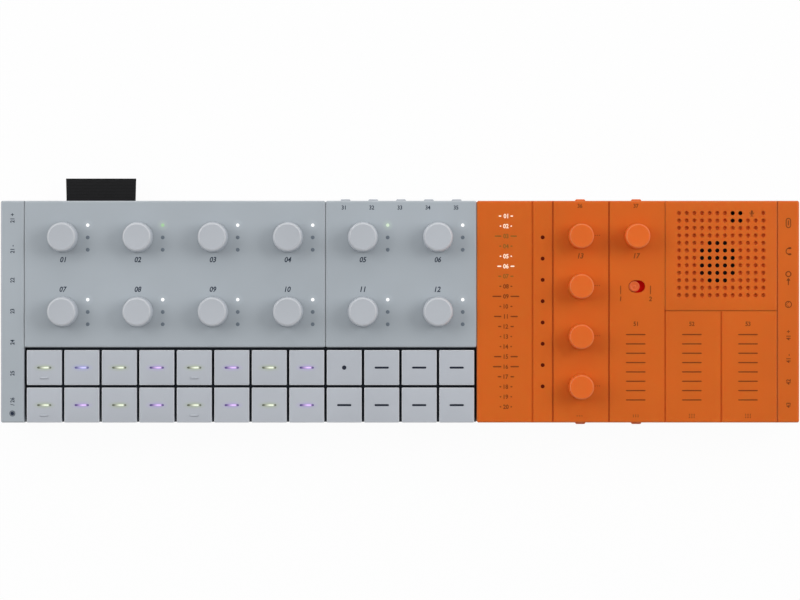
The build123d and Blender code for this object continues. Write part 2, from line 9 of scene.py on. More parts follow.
import bmesh
import bpy
import numpy as np
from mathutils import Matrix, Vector

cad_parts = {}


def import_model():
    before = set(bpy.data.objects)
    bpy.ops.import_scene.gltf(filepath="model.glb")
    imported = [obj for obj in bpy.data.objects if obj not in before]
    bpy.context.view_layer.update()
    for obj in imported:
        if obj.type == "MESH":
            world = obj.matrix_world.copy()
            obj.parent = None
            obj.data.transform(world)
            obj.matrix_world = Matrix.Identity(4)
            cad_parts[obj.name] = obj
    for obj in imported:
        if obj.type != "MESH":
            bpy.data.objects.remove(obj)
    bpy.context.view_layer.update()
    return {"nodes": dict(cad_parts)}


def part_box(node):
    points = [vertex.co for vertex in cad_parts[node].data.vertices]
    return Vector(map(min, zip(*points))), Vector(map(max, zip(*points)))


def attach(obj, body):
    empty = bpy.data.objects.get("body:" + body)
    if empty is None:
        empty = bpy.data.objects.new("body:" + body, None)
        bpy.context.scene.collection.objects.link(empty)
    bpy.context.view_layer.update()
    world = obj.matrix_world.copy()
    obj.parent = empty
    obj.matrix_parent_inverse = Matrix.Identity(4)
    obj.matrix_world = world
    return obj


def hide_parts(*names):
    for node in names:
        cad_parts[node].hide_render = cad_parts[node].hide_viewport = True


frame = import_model()

MM = 0.001

# ---------------------------------------------------------------- places read from the frame, in millimetres


def low(node):
    """Lowest corner of a CAD node's box."""
    return np.array(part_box(node)[0]) / MM


def high(node):
    """Highest corner of a CAD node's box."""
    return np.array(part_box(node)[1]) / MM


def middle(node):
    """Centre of a CAD node's box."""
    return (low(node) + high(node)) / 2


PANEL_TOP = high("drum_cover")[2]
REAR = high("drum_cover")[1]
FRONT = low("effects_cover")[1]
LEFT = low("left_end_cap")[0]
RIGHT = high("right_end_cap")[0]
SEAM_DRUM = high("drum_cover")[0]
CAP_LEFT = middle("left_end_cap")[0]
CAP_RIGHT = middle("right_end_cap")[0]
MODULE_PITCH = middle("effect_knob")[0] - middle("sound_knob_1")[0]

TRACK_KNOBS = [f"track_knob_{n:02d}" for n in range(1, 13)]
KNOBS_IN_ROW = 6
SOUND_KNOBS = [f"sound_knob_{n}" for n in range(1, 5)]
STEP_KEYS = [f"step_key_{n:02d}" for n in range(1, 17)]
NOTE_KEYS = [f"note_key_{n}" for n in range(1, 9)]


def module_x(index):
    """Centre of an effects module, counted from the left."""
    return middle("sound_knob_1")[0] + index * MODULE_PITCH


# ---------------------------------------------------------------- outlines and skins
LEAST_CORNER = 0.02


def rounded_outline(half_x, half_y, radius, steps=4):
    """Rectangle with rounded corners, anticlockwise: each corner is a quarter circle round a centre that lies
    one radius inside both sides."""
    radius = min(radius, 0.97 * half_x, 0.97 * half_y)
    quarter = np.linspace(0, pi / 2, steps + 1)
    corners = []
    for turn, (side_x, side_y) in enumerate(((1, 1), (-1, 1), (-1, -1), (1, -1))):
        angle = quarter + turn * pi / 2
        corners.append(np.stack([side_x * (half_x - radius) + radius * np.cos(angle),
                                 side_y * (half_y - radius) + radius * np.sin(angle)], -1))
    return np.concatenate(corners)


def at_height(outline, x, y, z):
    """An outline moved to (x, y) and laid at one height."""
    return np.column_stack([outline + (x, y), np.full(len(outline), z)])


def circle(radius, sides):
    """Points at equal angles round the origin."""
    angle = np.arange(sides) * 2 * pi / sides
    return np.column_stack([radius * np.cos(angle), radius * np.sin(angle)])


def skin(rings, close_first=True, close_last=True):
    """Skin over rings of equal count: neighbours in two rings make a quad, and an end ring may close on its
    middle. Rings that run from the bottom middle outwards, up and inwards give faces that point outwards."""
    rings = np.asarray(rings, float)
    count, sides = rings.shape[:2]
    k = np.arange(sides)
    after = (k + 1) % sides
    row = np.arange(count - 1)[:, None] * sides
    quads = np.stack([row + k, row + after, row + sides + after, row + sides + k], -1)
    points, faces = [rings.reshape(-1, 3)], [quads.reshape(-1, 4)]
    if close_first:
        centre = np.full(sides, sum(map(len, points)))
        points.append(rings[:1].mean(1))
        faces.append(np.stack([centre, after, k], -1))
    if close_last:
        last = (count - 1) * sides
        centre = np.full(sides, sum(map(len, points)))
        points.append(rings[-1:].mean(1))
        faces.append(np.stack([last + k, last + after, centre], -1))
    return np.concatenate(points), faces


def joined(shells):
    """Several skins as one set of points and faces."""
    starts = np.cumsum([0] + [len(points) for points, _ in shells])
    points = np.concatenate([points for points, _ in shells])
    return points, [block + start for (_, blocks), start in zip(shells, starts) for block in blocks]


def turned(x, y, profile, sides):
    """A turned shape: each (radius, height) of the profile is a circle round an upright axis at (x, y)."""
    return skin([at_height(circle(radius, sides), x, y, height) for radius, height in profile])


def quarter_round(side, top, size, steps=4):
    """Points (place, height) of a rounded rim, from the side to the flat top: a quarter circle whose middle
    lies one size inside both."""
    angles = np.linspace(0, pi / 2, steps + 1)
    return [(side - size * (1 - np.cos(angle)), top - size * (1 - np.sin(angle))) for angle in angles]


def slab(half_x, half_y, radius, x, y, bottom, top, edge=0.0, steps=4):
    """Plate with a rounded outline whose upper edge is rounded by a quarter circle of the given size."""
    rings = [at_height(rounded_outline(half_x, half_y, radius, steps), x, y, bottom)]
    for inset, z in quarter_round(0, top, edge, 3) if edge else [(0, top)]:
        corner = max(radius + inset, LEAST_CORNER)
        rings.append(at_height(rounded_outline(half_x + inset, half_y + inset, corner, steps), x, y, z))
    return skin(rings)


# ---------------------------------------------------------------- meshes


def piece(name, shell, material, body="root", replaces=(), sharp=35, uv=None, weld=False):
    """A mesh object at the origin, from points in millimetres, that rides on a body. Edges that turn by more
    than the sharp angle stay crisp, and uv gives one (u, v) for each point."""
    points, faces = shell
    mesh = bpy.data.meshes.new(name)
    mesh.from_pydata((points * MM).tolist(), [], [face for block in faces for face in block.tolist()])
    if uv is not None:
        layer = mesh.uv_layers.new(name="place")
        corner = np.empty(len(mesh.loops), int)
        mesh.loops.foreach_get("vertex_index", corner)
        layer.data.foreach_set("uv", uv[corner].ravel())
    if weld:
        surface = bmesh.new()
        surface.from_mesh(mesh)
        bmesh.ops.remove_doubles(surface, verts=surface.verts, dist=1e-6)
        surface.to_mesh(mesh)
        surface.free()
    mesh.polygons.foreach_set("use_smooth", np.ones(len(mesh.polygons), bool))
    mesh.set_sharp_from_angle(angle=radians(sharp))
    mesh.materials.append(material)
    shown = bpy.data.objects.new(name, mesh)
    bpy.context.scene.collection.objects.link(shown)
    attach(shown, body)
    if replaces:
        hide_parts(*replaces)
    return shown


# ---------------------------------------------------------------- material tools


def tone(red, green, blue):
    """A colour written as 0 to 255 on screen, in the renderer's linear scale."""
    value = np.array([red, green, blue]) / 255
    linear = np.where(value <= 0.04045, value / 12.92, ((value + 0.055) / 1.055) ** 2.4)
    return (*linear.tolist(), 1.0)


def shaded(colour, share):
    """A screen colour made lighter or darker by a share of itself."""
    return tuple(min(255, channel * share) for channel in colour)


class Finish:
    """A node material with short calls for the nodes that this object's finishes use."""

    def __init__(self, name, colour, roughness, specular=0.5, metallic=0.0):
        self.material = bpy.data.materials.new(name)
        self.material.use_nodes = True
        self.tree = self.material.node_tree
        self.shader = self.tree.nodes["Principled BSDF"]
        self.shader.inputs["Base Color"].default_value = tone(*colour)
        self.shader.inputs["Roughness"].default_value = roughness
        self.shader.inputs["Specular IOR Level"].default_value = specular
        self.shader.inputs["Metallic"].default_value = metallic
        self.material.diffuse_color = tone(*colour)

    def node(self, kind, **values):
        """A new node; values are its own settings, or its inputs by name with _ for a space."""
        made = self.tree.nodes.new("ShaderNode" + kind)
        for name, value in values.items():
            if hasattr(made, name):
                setattr(made, name, value)
            else:
                made.inputs[name.replace("_", " ")].default_value = value
        return made

    def link(self, source, target):
        """Carries an output to an input."""
        self.tree.links.new(source, target)

    def fed(self, made, *sources):
        """A node with its inputs, in order, linked to sockets or set to values."""
        for target, source in zip(made.inputs, sources):
            if isinstance(source, bpy.types.NodeSocket):
                self.link(source, target)
            else:
                target.default_value = source
        return made

    def maths(self, operation, *sources):
        """The result of an operation on sockets or numbers."""
        return self.fed(self.node("Math", operation=operation), *sources).outputs[0]

    def vectors(self, operation, *sources):
        """The node of an operation on vectors, each a socket or three numbers."""
        return self.fed(self.node("VectorMath", operation=operation), *sources)

    def split(self, vector):
        """The X, Y and Z of a vector."""
        return self.fed(self.node("SeparateXYZ"), vector).outputs

    def place(self, scale=1.0, kind="Object"):
        """Object coordinates, or the piece's own UV map, stretched by a scale."""
        mapping = self.node("Mapping")
        mapping.inputs["Scale"].default_value = (scale,) * 3 if np.isscalar(scale) else scale
        self.link(self.node("TexCoord").outputs[kind], mapping.inputs["Vector"])
        return mapping.outputs["Vector"]

    def noise(self, per_metre, detail=2.0):
        """Cloudy noise with this many cells to a metre of the object."""
        made = self.node("TexNoise", Scale=per_metre, Detail=detail)
        self.link(self.place(), made.inputs["Vector"])
        return made.outputs["Fac"]

    def ranged(self, source, low_value, high_value, from_low=0.3, from_high=0.7):
        """A value that runs between two numbers while the source runs over its own range."""
        made = self.node("MapRange", From_Min=from_low, From_Max=from_high, To_Min=low_value,
                         To_Max=high_value)
        self.link(source, made.inputs["Value"])
        return made.outputs["Result"]

    def mixed(self, factor, first, second):
        """A colour between two, by a factor; each may be a screen colour or a socket."""
        made = self.node("Mix", data_type="RGBA")
        self.link(factor, made.inputs["Factor"])
        for socket, value in (("A_Color", first), ("B_Color", second)):
            target = next(s for s in made.inputs if s.identifier == socket)
            if isinstance(value, tuple):
                target.default_value = tone(*value)
            else:
                self.link(value, target)
        return next(s for s in made.outputs if s.identifier == "Result_Color")

    def bump(self, source, depth, under=None):
        """Relief of this depth in millimetres, laid over another relief where one is given."""
        made = self.node("Bump", Distance=depth * MM)
        self.link(source, made.inputs["Height"])
        if under is not None:
            self.link(under, made.inputs["Normal"])
        return made.outputs["Normal"]

    def wear(self, socket, source):
        """Gives one input of the surface its source."""
        self.link(source, self.shader.inputs[socket])

    def worn(self, socket):
        """The source of one input of the surface so far."""
        return self.shader.inputs[socket].links[0].from_socket


MOTTLE = 0.02
SOAK_DEPTH = (4.0, 0.8, 0.3)


def moulded(name, colour, roughness=0.5, grain=0.012, specular=0.3, rim=0.0, wall=0.0, soak=0.0):
    """Injection-moulded plastic: a spark-eroded grain of about half a millimetre, finer pits between, a slow
    drift in tone across the moulding and slightly glossier and duller patches. A rim share paints a highlight
    on slanted edges, and a wall share paints light on upright walls so that these are brighter than the top.
    Light may soak into it, red the deepest."""
    finish = Finish(name, colour, roughness, specular)
    if soak:
        finish.shader.inputs["Subsurface Weight"].default_value = soak
        finish.shader.inputs["Subsurface Radius"].default_value = SOAK_DEPTH
        finish.shader.inputs["Subsurface Scale"].default_value = MM
    drift = finish.ranged(finish.noise(per_metre=22, detail=3), 0, 1)
    tinted = finish.mixed(drift, shaded(colour, 1 - MOTTLE), shaded(colour, 1 + MOTTLE))
    # painted highlight: slanted edges lightened halfway towards white by the rim share
    if rim:
        painted_rim_highlight = tuple(channel + (255 - channel) * 0.5 for channel in colour)
        tinted = finish.mixed(slanted(finish, rim), tinted, painted_rim_highlight)
    # painted light: upright walls made lighter than the top by the wall share
    if wall:
        tinted = finish.mixed(upright(finish), tinted, shaded(colour, 1 + wall))
    finish.wear("Base Color", tinted)
    patches = finish.noise(per_metre=70, detail=4)
    finish.wear("Roughness", finish.ranged(patches, roughness - 0.04, roughness + 0.05))
    coarse = finish.bump(finish.noise(per_metre=1900), grain)
    finish.wear("Normal", finish.bump(finish.noise(per_metre=5200, detail=1), grain / 3, under=coarse))
    return finish


def facing_up(finish):
    """1 where the surface faces up, and 0 on an upright wall."""
    return finish.split(finish.node("NewGeometry").outputs["Normal"])["Z"]


def upright(finish):
    """1 on undersides and on walls that stand upright or nearly so, and 0 where the surface leans back by
    more than about 30 degrees."""
    return finish.ranged(facing_up(finish), 1, 0, 0.15, 0.5)


def slanted(finish, most):
    """Rises to the given value where the surface leans about 35 degrees, and is 0 on flat tops and upright
    walls."""
    upward = facing_up(finish)
    off_top = finish.ranged(upward, 0, most, 0.985, 0.9)
    off_wall = finish.ranged(upward, 0, 1, 0.1, 0.55)
    return finish.maths("MULTIPLY", off_top, off_wall)


def from_lattice(finish, first, pitch, stretch=(1, 1)):
    """Distance in millimetres to the nearest point of a lattice that repeats in X and Y: the place is wrapped
    round the first point by the pitch, stretched in X and Y, and measured."""
    half_x, half_y = pitch[0] / 2, pitch[1] / 2
    away = finish.vectors("SUBTRACT", finish.place(1 / MM), (*first, 0)).outputs["Vector"]
    wrapped = finish.vectors("WRAP", away, (half_x, half_y, 1), (-half_x, -half_y, -1)).outputs["Vector"]
    flat = finish.vectors("MULTIPLY", wrapped, (*stretch, 0)).outputs["Vector"]
    return finish.vectors("LENGTH", flat).outputs["Value"]


def printed(name, colour):
    """Screen-printed ink: nearly flat colour with a slight break-up of the film and no gloss."""
    finish = Finish(name, colour, roughness=0.6, specular=0.12)
    film = finish.noise(per_metre=2600, detail=3)
    thinner = tuple(min(255, channel * 1.16 + 6) for channel in colour)
    finish.wear("Base Color", finish.mixed(finish.ranged(film, 0, 1, 0.45, 0.8), colour, thinner))
    finish.wear("Normal", finish.bump(film, 0.004))
    return finish.material


# ---------------------------------------------------------------- finishes, in screen colours from 0 to 255
GREY = (167, 174, 180)
GREY_KEY = (182, 186, 193)
GREY_KNOB = (182, 186, 192)
ORANGE = (211, 101, 29)
ORANGE_KNOB = (223, 106, 35)
INK = (40, 48, 62)
BROWN_INK = (122, 56, 14)
NICKEL = (176, 174, 168)
JACK_BLACK = (26, 26, 28)
# shares of painted light: a highlight on the rims of the keys and light on the walls of the knobs
KEY_PAINTED_RIM_HIGHLIGHT = 0.9
KNOB_PAINTED_WALL_LIGHT = 0.1
SOAK = 0.35

# rim= paints a highlight on slanted edges, and wall= paints light on upright walls
grey_shell = moulded("grey_shell", GREY, rim=0.25).material
grey_key = moulded("grey_key", GREY_KEY, roughness=0.42, grain=0.008, rim=KEY_PAINTED_RIM_HIGHLIGHT).material
grey_knob = moulded("grey_knob", GREY_KNOB, roughness=0.38, grain=0.006, rim=0.4, wall=KNOB_PAINTED_WALL_LIGHT).material
orange_shell = moulded("orange_shell", ORANGE, specular=0.14, rim=0.08, soak=SOAK).material
orange_knob = moulded("orange_knob", ORANGE_KNOB, roughness=0.38, grain=0.006, specular=0.2, rim=0.15,
                      wall=KNOB_PAINTED_WALL_LIGHT, soak=SOAK).material
key_mark = moulded("key_mark", GREY_KEY, grain=0.004).material
black_plastic = moulded("black_plastic", (52, 59, 70), roughness=0.55, grain=0.015).material
speaker_black = moulded("speaker_black", (18, 15, 15), roughness=0.6, grain=0.02, specular=0.15).material
grey_ink = printed("grey_panel_ink", INK)
brown_ink = printed("orange_panel_ink", BROWN_INK)

LAMPS_AT_KNOB = 3
LAMP_RADIUS = 0.82
LIT_RADIUS = 0.72
LAMP_FROM_KNOB = 10.6
LAMP_PITCH = 5.27
LAMPS_FORWARD = 0.12
GREEN_LAMP_STEP = 3
ONE_ROW_ONLY = 1000


def lamp_place(node, place):
    """Centre of one of the three lamps to the right of a grey knob, counted from the rear."""
    x, y = middle(node)[:2]
    return x + LAMP_FROM_KNOB, y + (1 - place) * LAMP_PITCH - LAMPS_FORWARD


def panel_with_painted_lamp_glow():
    """Grey panel plastic with a painted glow round each lit lamp, as emission on the panel itself: the rear
    lamp of every column, green beside the second and the fifth knob of the rear row. Its slanted edges carry
    the painted rim highlight."""
    finish = moulded("grey_panel_painted_glow", GREY, rim=0.25)
    first, second, below = (np.array(lamp_place(TRACK_KNOBS[n], 0)) for n in (0, 1, KNOBS_IN_ROW))
    pitch = (second[0] - first[0], first[1] - below[1])
    near = from_lattice(finish, first, pitch)
    near_green = from_lattice(finish, second, (GREEN_LAMP_STEP * pitch[0], ONE_ROW_ONLY))
    is_green = finish.ranged(near_green, 1, 0, 4, 5)
    # painted glow: emission on the panel plastic, fading with the distance to each lit lamp
    finish.wear("Emission Color", finish.mixed(is_green, (152, 158, 166), (168, 214, 120)))
    finish.wear("Emission Strength", finish.ranged(near, 0.1, 0, 0.7, 2.6))
    return finish.material


def key_with_painted_lens_glow(name, tint):
    """Grey key plastic with painted light from its lens: the base colour is tinted towards the lens's light,
    the more the closer to the long lens, and its rims carry the painted highlight.
    """
    finish = moulded(name, GREY_KEY, roughness=0.42, grain=0.008, rim=KEY_PAINTED_RIM_HIGHLIGHT)
    first, pitch = middle("step_key_01")[:2], middle("step_key_02")[0] - middle("step_key_01")[0]
    near = finish.ranged(from_lattice(finish, first, (pitch, pitch), stretch=(0.34, 1)), 0.5, 0, 0.4, 1.8)
    # painted light: the key's base colour tinted towards the light of its lens
    finish.wear("Base Color", finish.mixed(near, finish.worn("Base Color"), tint))
    return finish.material


grey_panel_painted_glow = panel_with_painted_lamp_glow()
key_painted_yellow_glow = key_with_painted_lens_glow("grey_key_painted_yellow_glow", (172, 184, 146))
key_painted_violet_glow = key_with_painted_lens_glow("grey_key_painted_violet_glow", (182, 162, 222))
key_painted_blue_glow = key_with_painted_lens_glow("grey_key_painted_blue_glow", (166, 166, 224))


def rear_button_finish():
    """Grey plastic for the buttons behind the grey panels, and orange to the right of the last grey seam."""
    finish = moulded("rear_buttons", GREY_KNOB, roughness=0.42)
    beyond = finish.maths("GREATER_THAN", finish.split(finish.place())["X"], low("effects_cover")[0] * MM)
    finish.wear("Base Color", finish.mixed(beyond, finish.worn("Base Color"), ORANGE_KNOB))
    return finish.material


def board_finish():
    """Green solder mask with a faint pattern of tracks."""
    finish = Finish("board_green", (22, 74, 52), roughness=0.32)
    tracks = finish.node("TexBrick", Scale=260.0, Mortar_Size=0.03)
    finish.link(finish.place(), tracks.inputs["Vector"])
    tracks.inputs["Color1"].default_value = tone(20, 70, 48)
    tracks.inputs["Color2"].default_value = tone(26, 84, 58)
    tracks.inputs["Mortar"].default_value = tone(48, 116, 84)
    finish.wear("Base Color", tracks.outputs["Color"])
    finish.wear("Normal", finish.bump(finish.noise(per_metre=900), 0.02))
    return finish.material


USB_SHELL_ROOM = 12.0


def socket_finish():
    """Nickel shell for the USB-C socket, and black plastic for the three jack bodies in front of it."""
    finish = Finish("socket_metal", NICKEL, roughness=0.28)
    front_of_shell = (high("side_sockets")[1] - USB_SHELL_ROOM) * MM
    metal = finish.maths("GREATER_THAN", finish.split(finish.place())["Y"], front_of_shell)
    finish.wear("Base Color", finish.mixed(metal, JACK_BLACK, NICKEL))
    finish.wear("Metallic", metal)
    finish.wear("Roughness", finish.ranged(finish.noise(per_metre=400, detail=4), 0.24, 0.4))
    return finish.material


def battery_finish():
    """Shrink-wrap film over a flat cell: satin, with shallow creases."""
    finish = Finish("battery_wrap", (58, 66, 84), roughness=0.35)
    finish.wear("Normal", finish.bump(finish.noise(per_metre=120, detail=5), 0.25))
    finish.wear("Roughness", finish.ranged(finish.noise(per_metre=60), 0.28, 0.45))
    return finish.material


def rubber_finish():
    """Soft black rubber with a dusty bloom."""
    finish = Finish("foot_rubber", (30, 30, 31), roughness=0.8, specular=0.25)
    bloom = finish.ranged(finish.noise(per_metre=500, detail=5), 0, 1)
    finish.wear("Base Color", finish.mixed(bloom, (24, 24, 25), (44, 44, 45)))
    finish.wear("Normal", finish.bump(finish.noise(per_metre=2400), 0.02))
    return finish.material


def screw_finish():
    """Black zinc with fine turning marks."""
    finish = Finish("screw_zinc", (52, 52, 56), roughness=0.36, metallic=1.0)
    finish.wear("Normal", finish.bump(finish.noise(per_metre=3000, detail=3), 0.01))
    return finish.material


WEFT_STRETCH = (30, 14, 1)
WARP_STRETCH = (26, 2, 1)


def woven_finish():
    """Black satin ribbon: weft ribs run across its width and finer warp threads run along it, each a row of
    rounded threads, with uneven yarn and a soft sheen. Its colour is darker where the weave lies low, a
    painted shade in its hollows."""
    finish = Finish("tag_fabric", (24, 24, 25), roughness=0.8, specular=0.2)
    finish.shader.inputs["Sheen Weight"].default_value = 0.08
    finish.shader.inputs["Sheen Roughness"].default_value = 0.4
    threads = []
    for direction, distortion, stretch in (("Y", 0.6, WEFT_STRETCH), ("X", 0.3, WARP_STRETCH)):
        rows = finish.node("TexWave", bands_direction=direction, Scale=1.0, Distortion=distortion, Detail=1.0)
        threads.append(finish.fed(rows, finish.place(stretch, "UV")).outputs["Fac"])
    crossing = finish.maths("MULTIPLY", *threads)
    # painted shade: the colour follows the weave's height, darker where the threads lie low
    finish.wear("Base Color", finish.mixed(crossing, (8, 8, 9), (33, 33, 35)))
    finish.wear("Normal", finish.bump(crossing, 0.08))
    return finish.material


LENS_GLOW = [(0.0, 0.02), (0.13, 0.04), (0.3, 0.45), (0.55, 1.0), (0.76, 1.0), (0.87, 0.12), (1.0, 0.03)]


def lens_finish(name, core, edge, end):
    """Diffusing lens lit from below: dark at both ends, the light strongest a little to the right of the
    middle, and tinted towards the long sides. U runs along the lens and V across it, and LENS_GLOW has
    (U, light)."""
    finish = Finish(name, edge, roughness=0.35)
    position = finish.split(finish.place(kind="UV"))
    along = finish.node("ValToRGB")
    ramp = along.color_ramp
    while len(ramp.elements) < len(LENS_GLOW):
        ramp.elements.new(0.5)
    for element, (place, value) in zip(ramp.elements, LENS_GLOW):
        element.position = place
        element.color = (value, value, value, 1)
    finish.link(position["X"], along.inputs["Fac"])
    from_middle = finish.maths("ABSOLUTE", finish.maths("SUBTRACT", position["Y"], 0.5))
    tint = finish.ranged(from_middle, 0, 1, 0.22, 0.5)
    finish.wear("Emission Color", finish.mixed(tint, core, edge))
    finish.wear("Emission Strength", along.outputs["Color"])
    finish.wear("Base Color", finish.mixed(along.outputs["Color"], end, (30, 30, 34)))
    return finish.material


def lamp_finish(name, colour, glow):
    """Small moulded light window: clouded plastic, with its own light where it is on."""
    finish = Finish(name, colour, roughness=0.5, specular=0.05)
    cloud = finish.ranged(finish.noise(per_metre=3000), 0, 1)
    body = shaded(colour, 0.5 if glow else 1)
    finish.wear("Base Color", finish.mixed(cloud, shaded(body, 0.9), body))
    if glow:
        finish.shader.inputs["Emission Color"].default_value = tone(*colour)
        finish.shader.inputs["Emission Strength"].default_value = glow
    return finish.material


NODE_FINISHES = {
    "base_tray": grey_shell,
    "drum_cover": grey_panel_painted_glow,
    "synth_cover": grey_panel_painted_glow,
    "left_end_cap": grey_shell,
    "effects_cover": orange_shell,
    "right_end_cap": orange_shell,
    "key_bed": black_plastic,
    "speaker": speaker_black,
    "circuit_board": board_finish(),
    "battery": battery_finish(),
    "side_sockets": socket_finish(),
    "left_side_buttons": grey_knob,
    "right_side_buttons": orange_knob,
    "front_buttons": orange_knob,
    "rear_buttons": rear_button_finish(),
}


def finish_cad_nodes():
    """Gives each CAD node that stays in view its own finish."""
    for name, material in NODE_FINISHES.items():
        mesh = frame["nodes"][name].data
        mesh.materials.clear()
        mesh.materials.append(material)


# ---------------------------------------------------------------- knobs
KNOB_SIDES = 96
KNOB_GAP = 0.4
KNOB_UNDER = PANEL_TOP + KNOB_GAP
SHAFT_RADIUS = 2.0
SHAFT_CHAMFER = 0.3
FOOT_EDGE = [(0.35, 0.0), (0.1, 0.08), (0.0, 0.35)]
BEVEL = [(0.0, 0.66), (0.03, 0.56), (0.1, 0.46), (0.2, 0.37), (0.56, 0.11), (0.66, 0.04), (0.74, 0.01),
         (0.82, 0.0)]
TOP_DISH = [(1.0, 0.02), (1.6, 0.06)]
TOP_FLOOR = (0.5, 0.08)
GREY_LEAN = 0.43
GREY_BEVEL = 1.0
ORANGE_LEAN = 0.16
ORANGE_BEVEL = 0.7


def knob(node, material, lean, bevel_share):
    """Turned knob on its shaft: a side that leans in, a bevel with soft ends round the top, and a top whose
    middle lies a hair below its edge. FOOT_EDGE has (inwards, up) from the lower corner, BEVEL and TOP_DISH
    have (inwards, down) from the upper one, and TOP_FLOOR is (radius, down)."""
    x, y = middle(node)[:2]
    bottom, top = low(node)[2], high(node)[2]
    foot_radius = (high(node)[0] - low(node)[0]) / 2
    rim_radius = foot_radius - lean
    shaft = [(SHAFT_RADIUS - SHAFT_CHAMFER, bottom), (SHAFT_RADIUS, bottom + SHAFT_CHAMFER),
             (SHAFT_RADIUS, KNOB_UNDER)]
    foot = [(foot_radius - inwards, KNOB_UNDER + up) for inwards, up in FOOT_EDGE]
    bevel = [(rim_radius - inwards * bevel_share, top - down * bevel_share) for inwards, down in BEVEL]
    dish = [(rim_radius - inwards, top - down) for inwards, down in TOP_DISH]
    floor_radius, floor_down = TOP_FLOOR
    shell = turned(x, y, shaft + foot + bevel + dish + [(floor_radius, top - floor_down)], KNOB_SIDES)
    piece(f"{node}_cap", shell, material, body=node, replaces=[node])


def knobs():
    """Twelve grey knobs, four orange sound knobs and the orange effect knob."""
    for node in TRACK_KNOBS:
        knob(node, grey_knob, GREY_LEAN, GREY_BEVEL)
    for node in [*SOUND_KNOBS, "effect_knob"]:
        knob(node, orange_knob, ORANGE_LEAN, ORANGE_BEVEL)


# ---------------------------------------------------------------- keys
KEY_HEIGHT = 6.8
KEY_UNDER = PANEL_TOP - KEY_HEIGHT
KEY_ROOF = 1.6
KEY_SKIRT = 1.3
KEY_CORNER = 0.35
KEY_INNER_CORNER = 0.4
KEY_EDGE = 0.34
STEM = 4.0
STEM_CORNER = 0.3
STEM_IN_ROOF = 0.2
LENS_LENGTH = 6.2
LENS_WIDTH = 0.9
DOT_RADIUS = 0.95
POCKET_DEPTH = 0.4
POCKET_TAPER = 0.985
LENS_SINK = 0.03
BAR_SINK = 0.08
INLAY_FOOT = (0.98, 0.02)
INLAY_RIM = [(0.98, 0.06), (0.96, 0.01), (0.9, 0.0)]
DASH_LENGTH = 3.5
DASH_WIDTH = 0.8
DASH_HEIGHT = 0.5
DASH_EDGE = 0.3
DASH_ROOT = 0.1
DASH_FROM_FRONT = 3.05
DASH_EVERY = 4
BLUE_KEY = 1

yellow_lens = lens_finish("lens_yellow", (250, 255, 240), (176, 196, 118), (84, 90, 72))
violet_lens = lens_finish("lens_violet", (238, 208, 255), (146, 92, 230), (70, 52, 122))
blue_lens = lens_finish("lens_blue", (216, 214, 255), (122, 108, 226), (84, 84, 140))
note_bar = printed("note_bar", (34, 38, 50))


def key_cap(node, pocket, material):
    """Key cap as one skin: inside roof, skirt, outer sides, a rounded upper edge, the flat top and a sunk
    pocket for the lens; the stem is a second closed skin that ends in the roof."""
    x, y = middle(node)[:2]
    half = (high(node)[0] - low(node)[0]) / 2
    inner = rounded_outline(half - KEY_SKIRT, half - KEY_SKIRT, KEY_INNER_CORNER)
    outer = rounded_outline(half, half, KEY_CORNER)
    rings = [at_height(inner, x, y, PANEL_TOP - KEY_ROOF), at_height(inner, x, y, KEY_UNDER),
             at_height(outer, x, y, KEY_UNDER)]
    for inset, z in quarter_round(0, PANEL_TOP, KEY_EDGE):
        rings.append(at_height(rounded_outline(half + inset, half + inset, KEY_CORNER + inset), x, y, z))
    rings.append(at_height(pocket, x, y, PANEL_TOP))
    rings.append(at_height(pocket * POCKET_TAPER, x, y, PANEL_TOP - POCKET_DEPTH))
    stem_outline = rounded_outline(STEM / 2, STEM / 2, STEM_CORNER)
    stem_ends = (low(node)[2], PANEL_TOP - KEY_ROOF + STEM_IN_ROOF)
    stem = skin([at_height(stem_outline, x, y, z) for z in stem_ends])
    piece(f"{node}_cap", joined([skin(rings), stem]), material, body=node, replaces=[node])


def inlay(node, outline, material, sink):
    """Lens or bar that fills a key's pocket, with a softly rounded upper edge and UV along and across it.
    Each ring is a share of the pocket's outline, so much above its floor or below the inlay's own top."""
    x, y = middle(node)[:2]
    share, above = INLAY_FOOT
    rings = [at_height(outline * share, x, y, PANEL_TOP - POCKET_DEPTH + above)]
    rings += [at_height(outline * share, x, y, PANEL_TOP - sink - below) for share, below in INLAY_RIM]
    points, faces = skin(rings)
    uv = (points[:, :2] - (x, y)) / (outline.max(0) * 2) + 0.5
    piece(f"{node}_inlay", (points, faces), material, body=node, uv=uv)


def dash(node):
    """Raised mark for the fingertip near the front edge of a key."""
    x, y = middle(node)[0], low(node)[1] + DASH_FROM_FRONT
    shell = slab(DASH_LENGTH / 2, DASH_WIDTH / 2, DASH_WIDTH / 2, x, y, PANEL_TOP - DASH_ROOT,
                 PANEL_TOP + DASH_HEIGHT, edge=DASH_EDGE)
    piece(f"{node}_mark", shell, key_mark, body=node)


def keys():
    """Sixteen step keys, lit yellow and violet in turn but for a blue one, and eight note keys with dark
    inlays."""
    slot_pocket = rounded_outline(LENS_LENGTH / 2, LENS_WIDTH / 2, LENS_WIDTH / 2)
    dot_pocket = rounded_outline(DOT_RADIUS, DOT_RADIUS, DOT_RADIUS)
    for number, node in enumerate(STEP_KEYS):
        cap, lens = (key_painted_violet_glow, violet_lens) if number % 2 else (key_painted_yellow_glow, yellow_lens)
        if number == BLUE_KEY:
            cap, lens = key_painted_blue_glow, blue_lens
        key_cap(node, slot_pocket, cap)
        inlay(node, slot_pocket, lens, LENS_SINK)
        if number % DASH_EVERY == 0:
            dash(node)
    for number, node in enumerate(NOTE_KEYS):
        pocket = slot_pocket if number else dot_pocket
        key_cap(node, pocket, grey_key)
        inlay(node, pocket, note_bar, BAR_SINK)


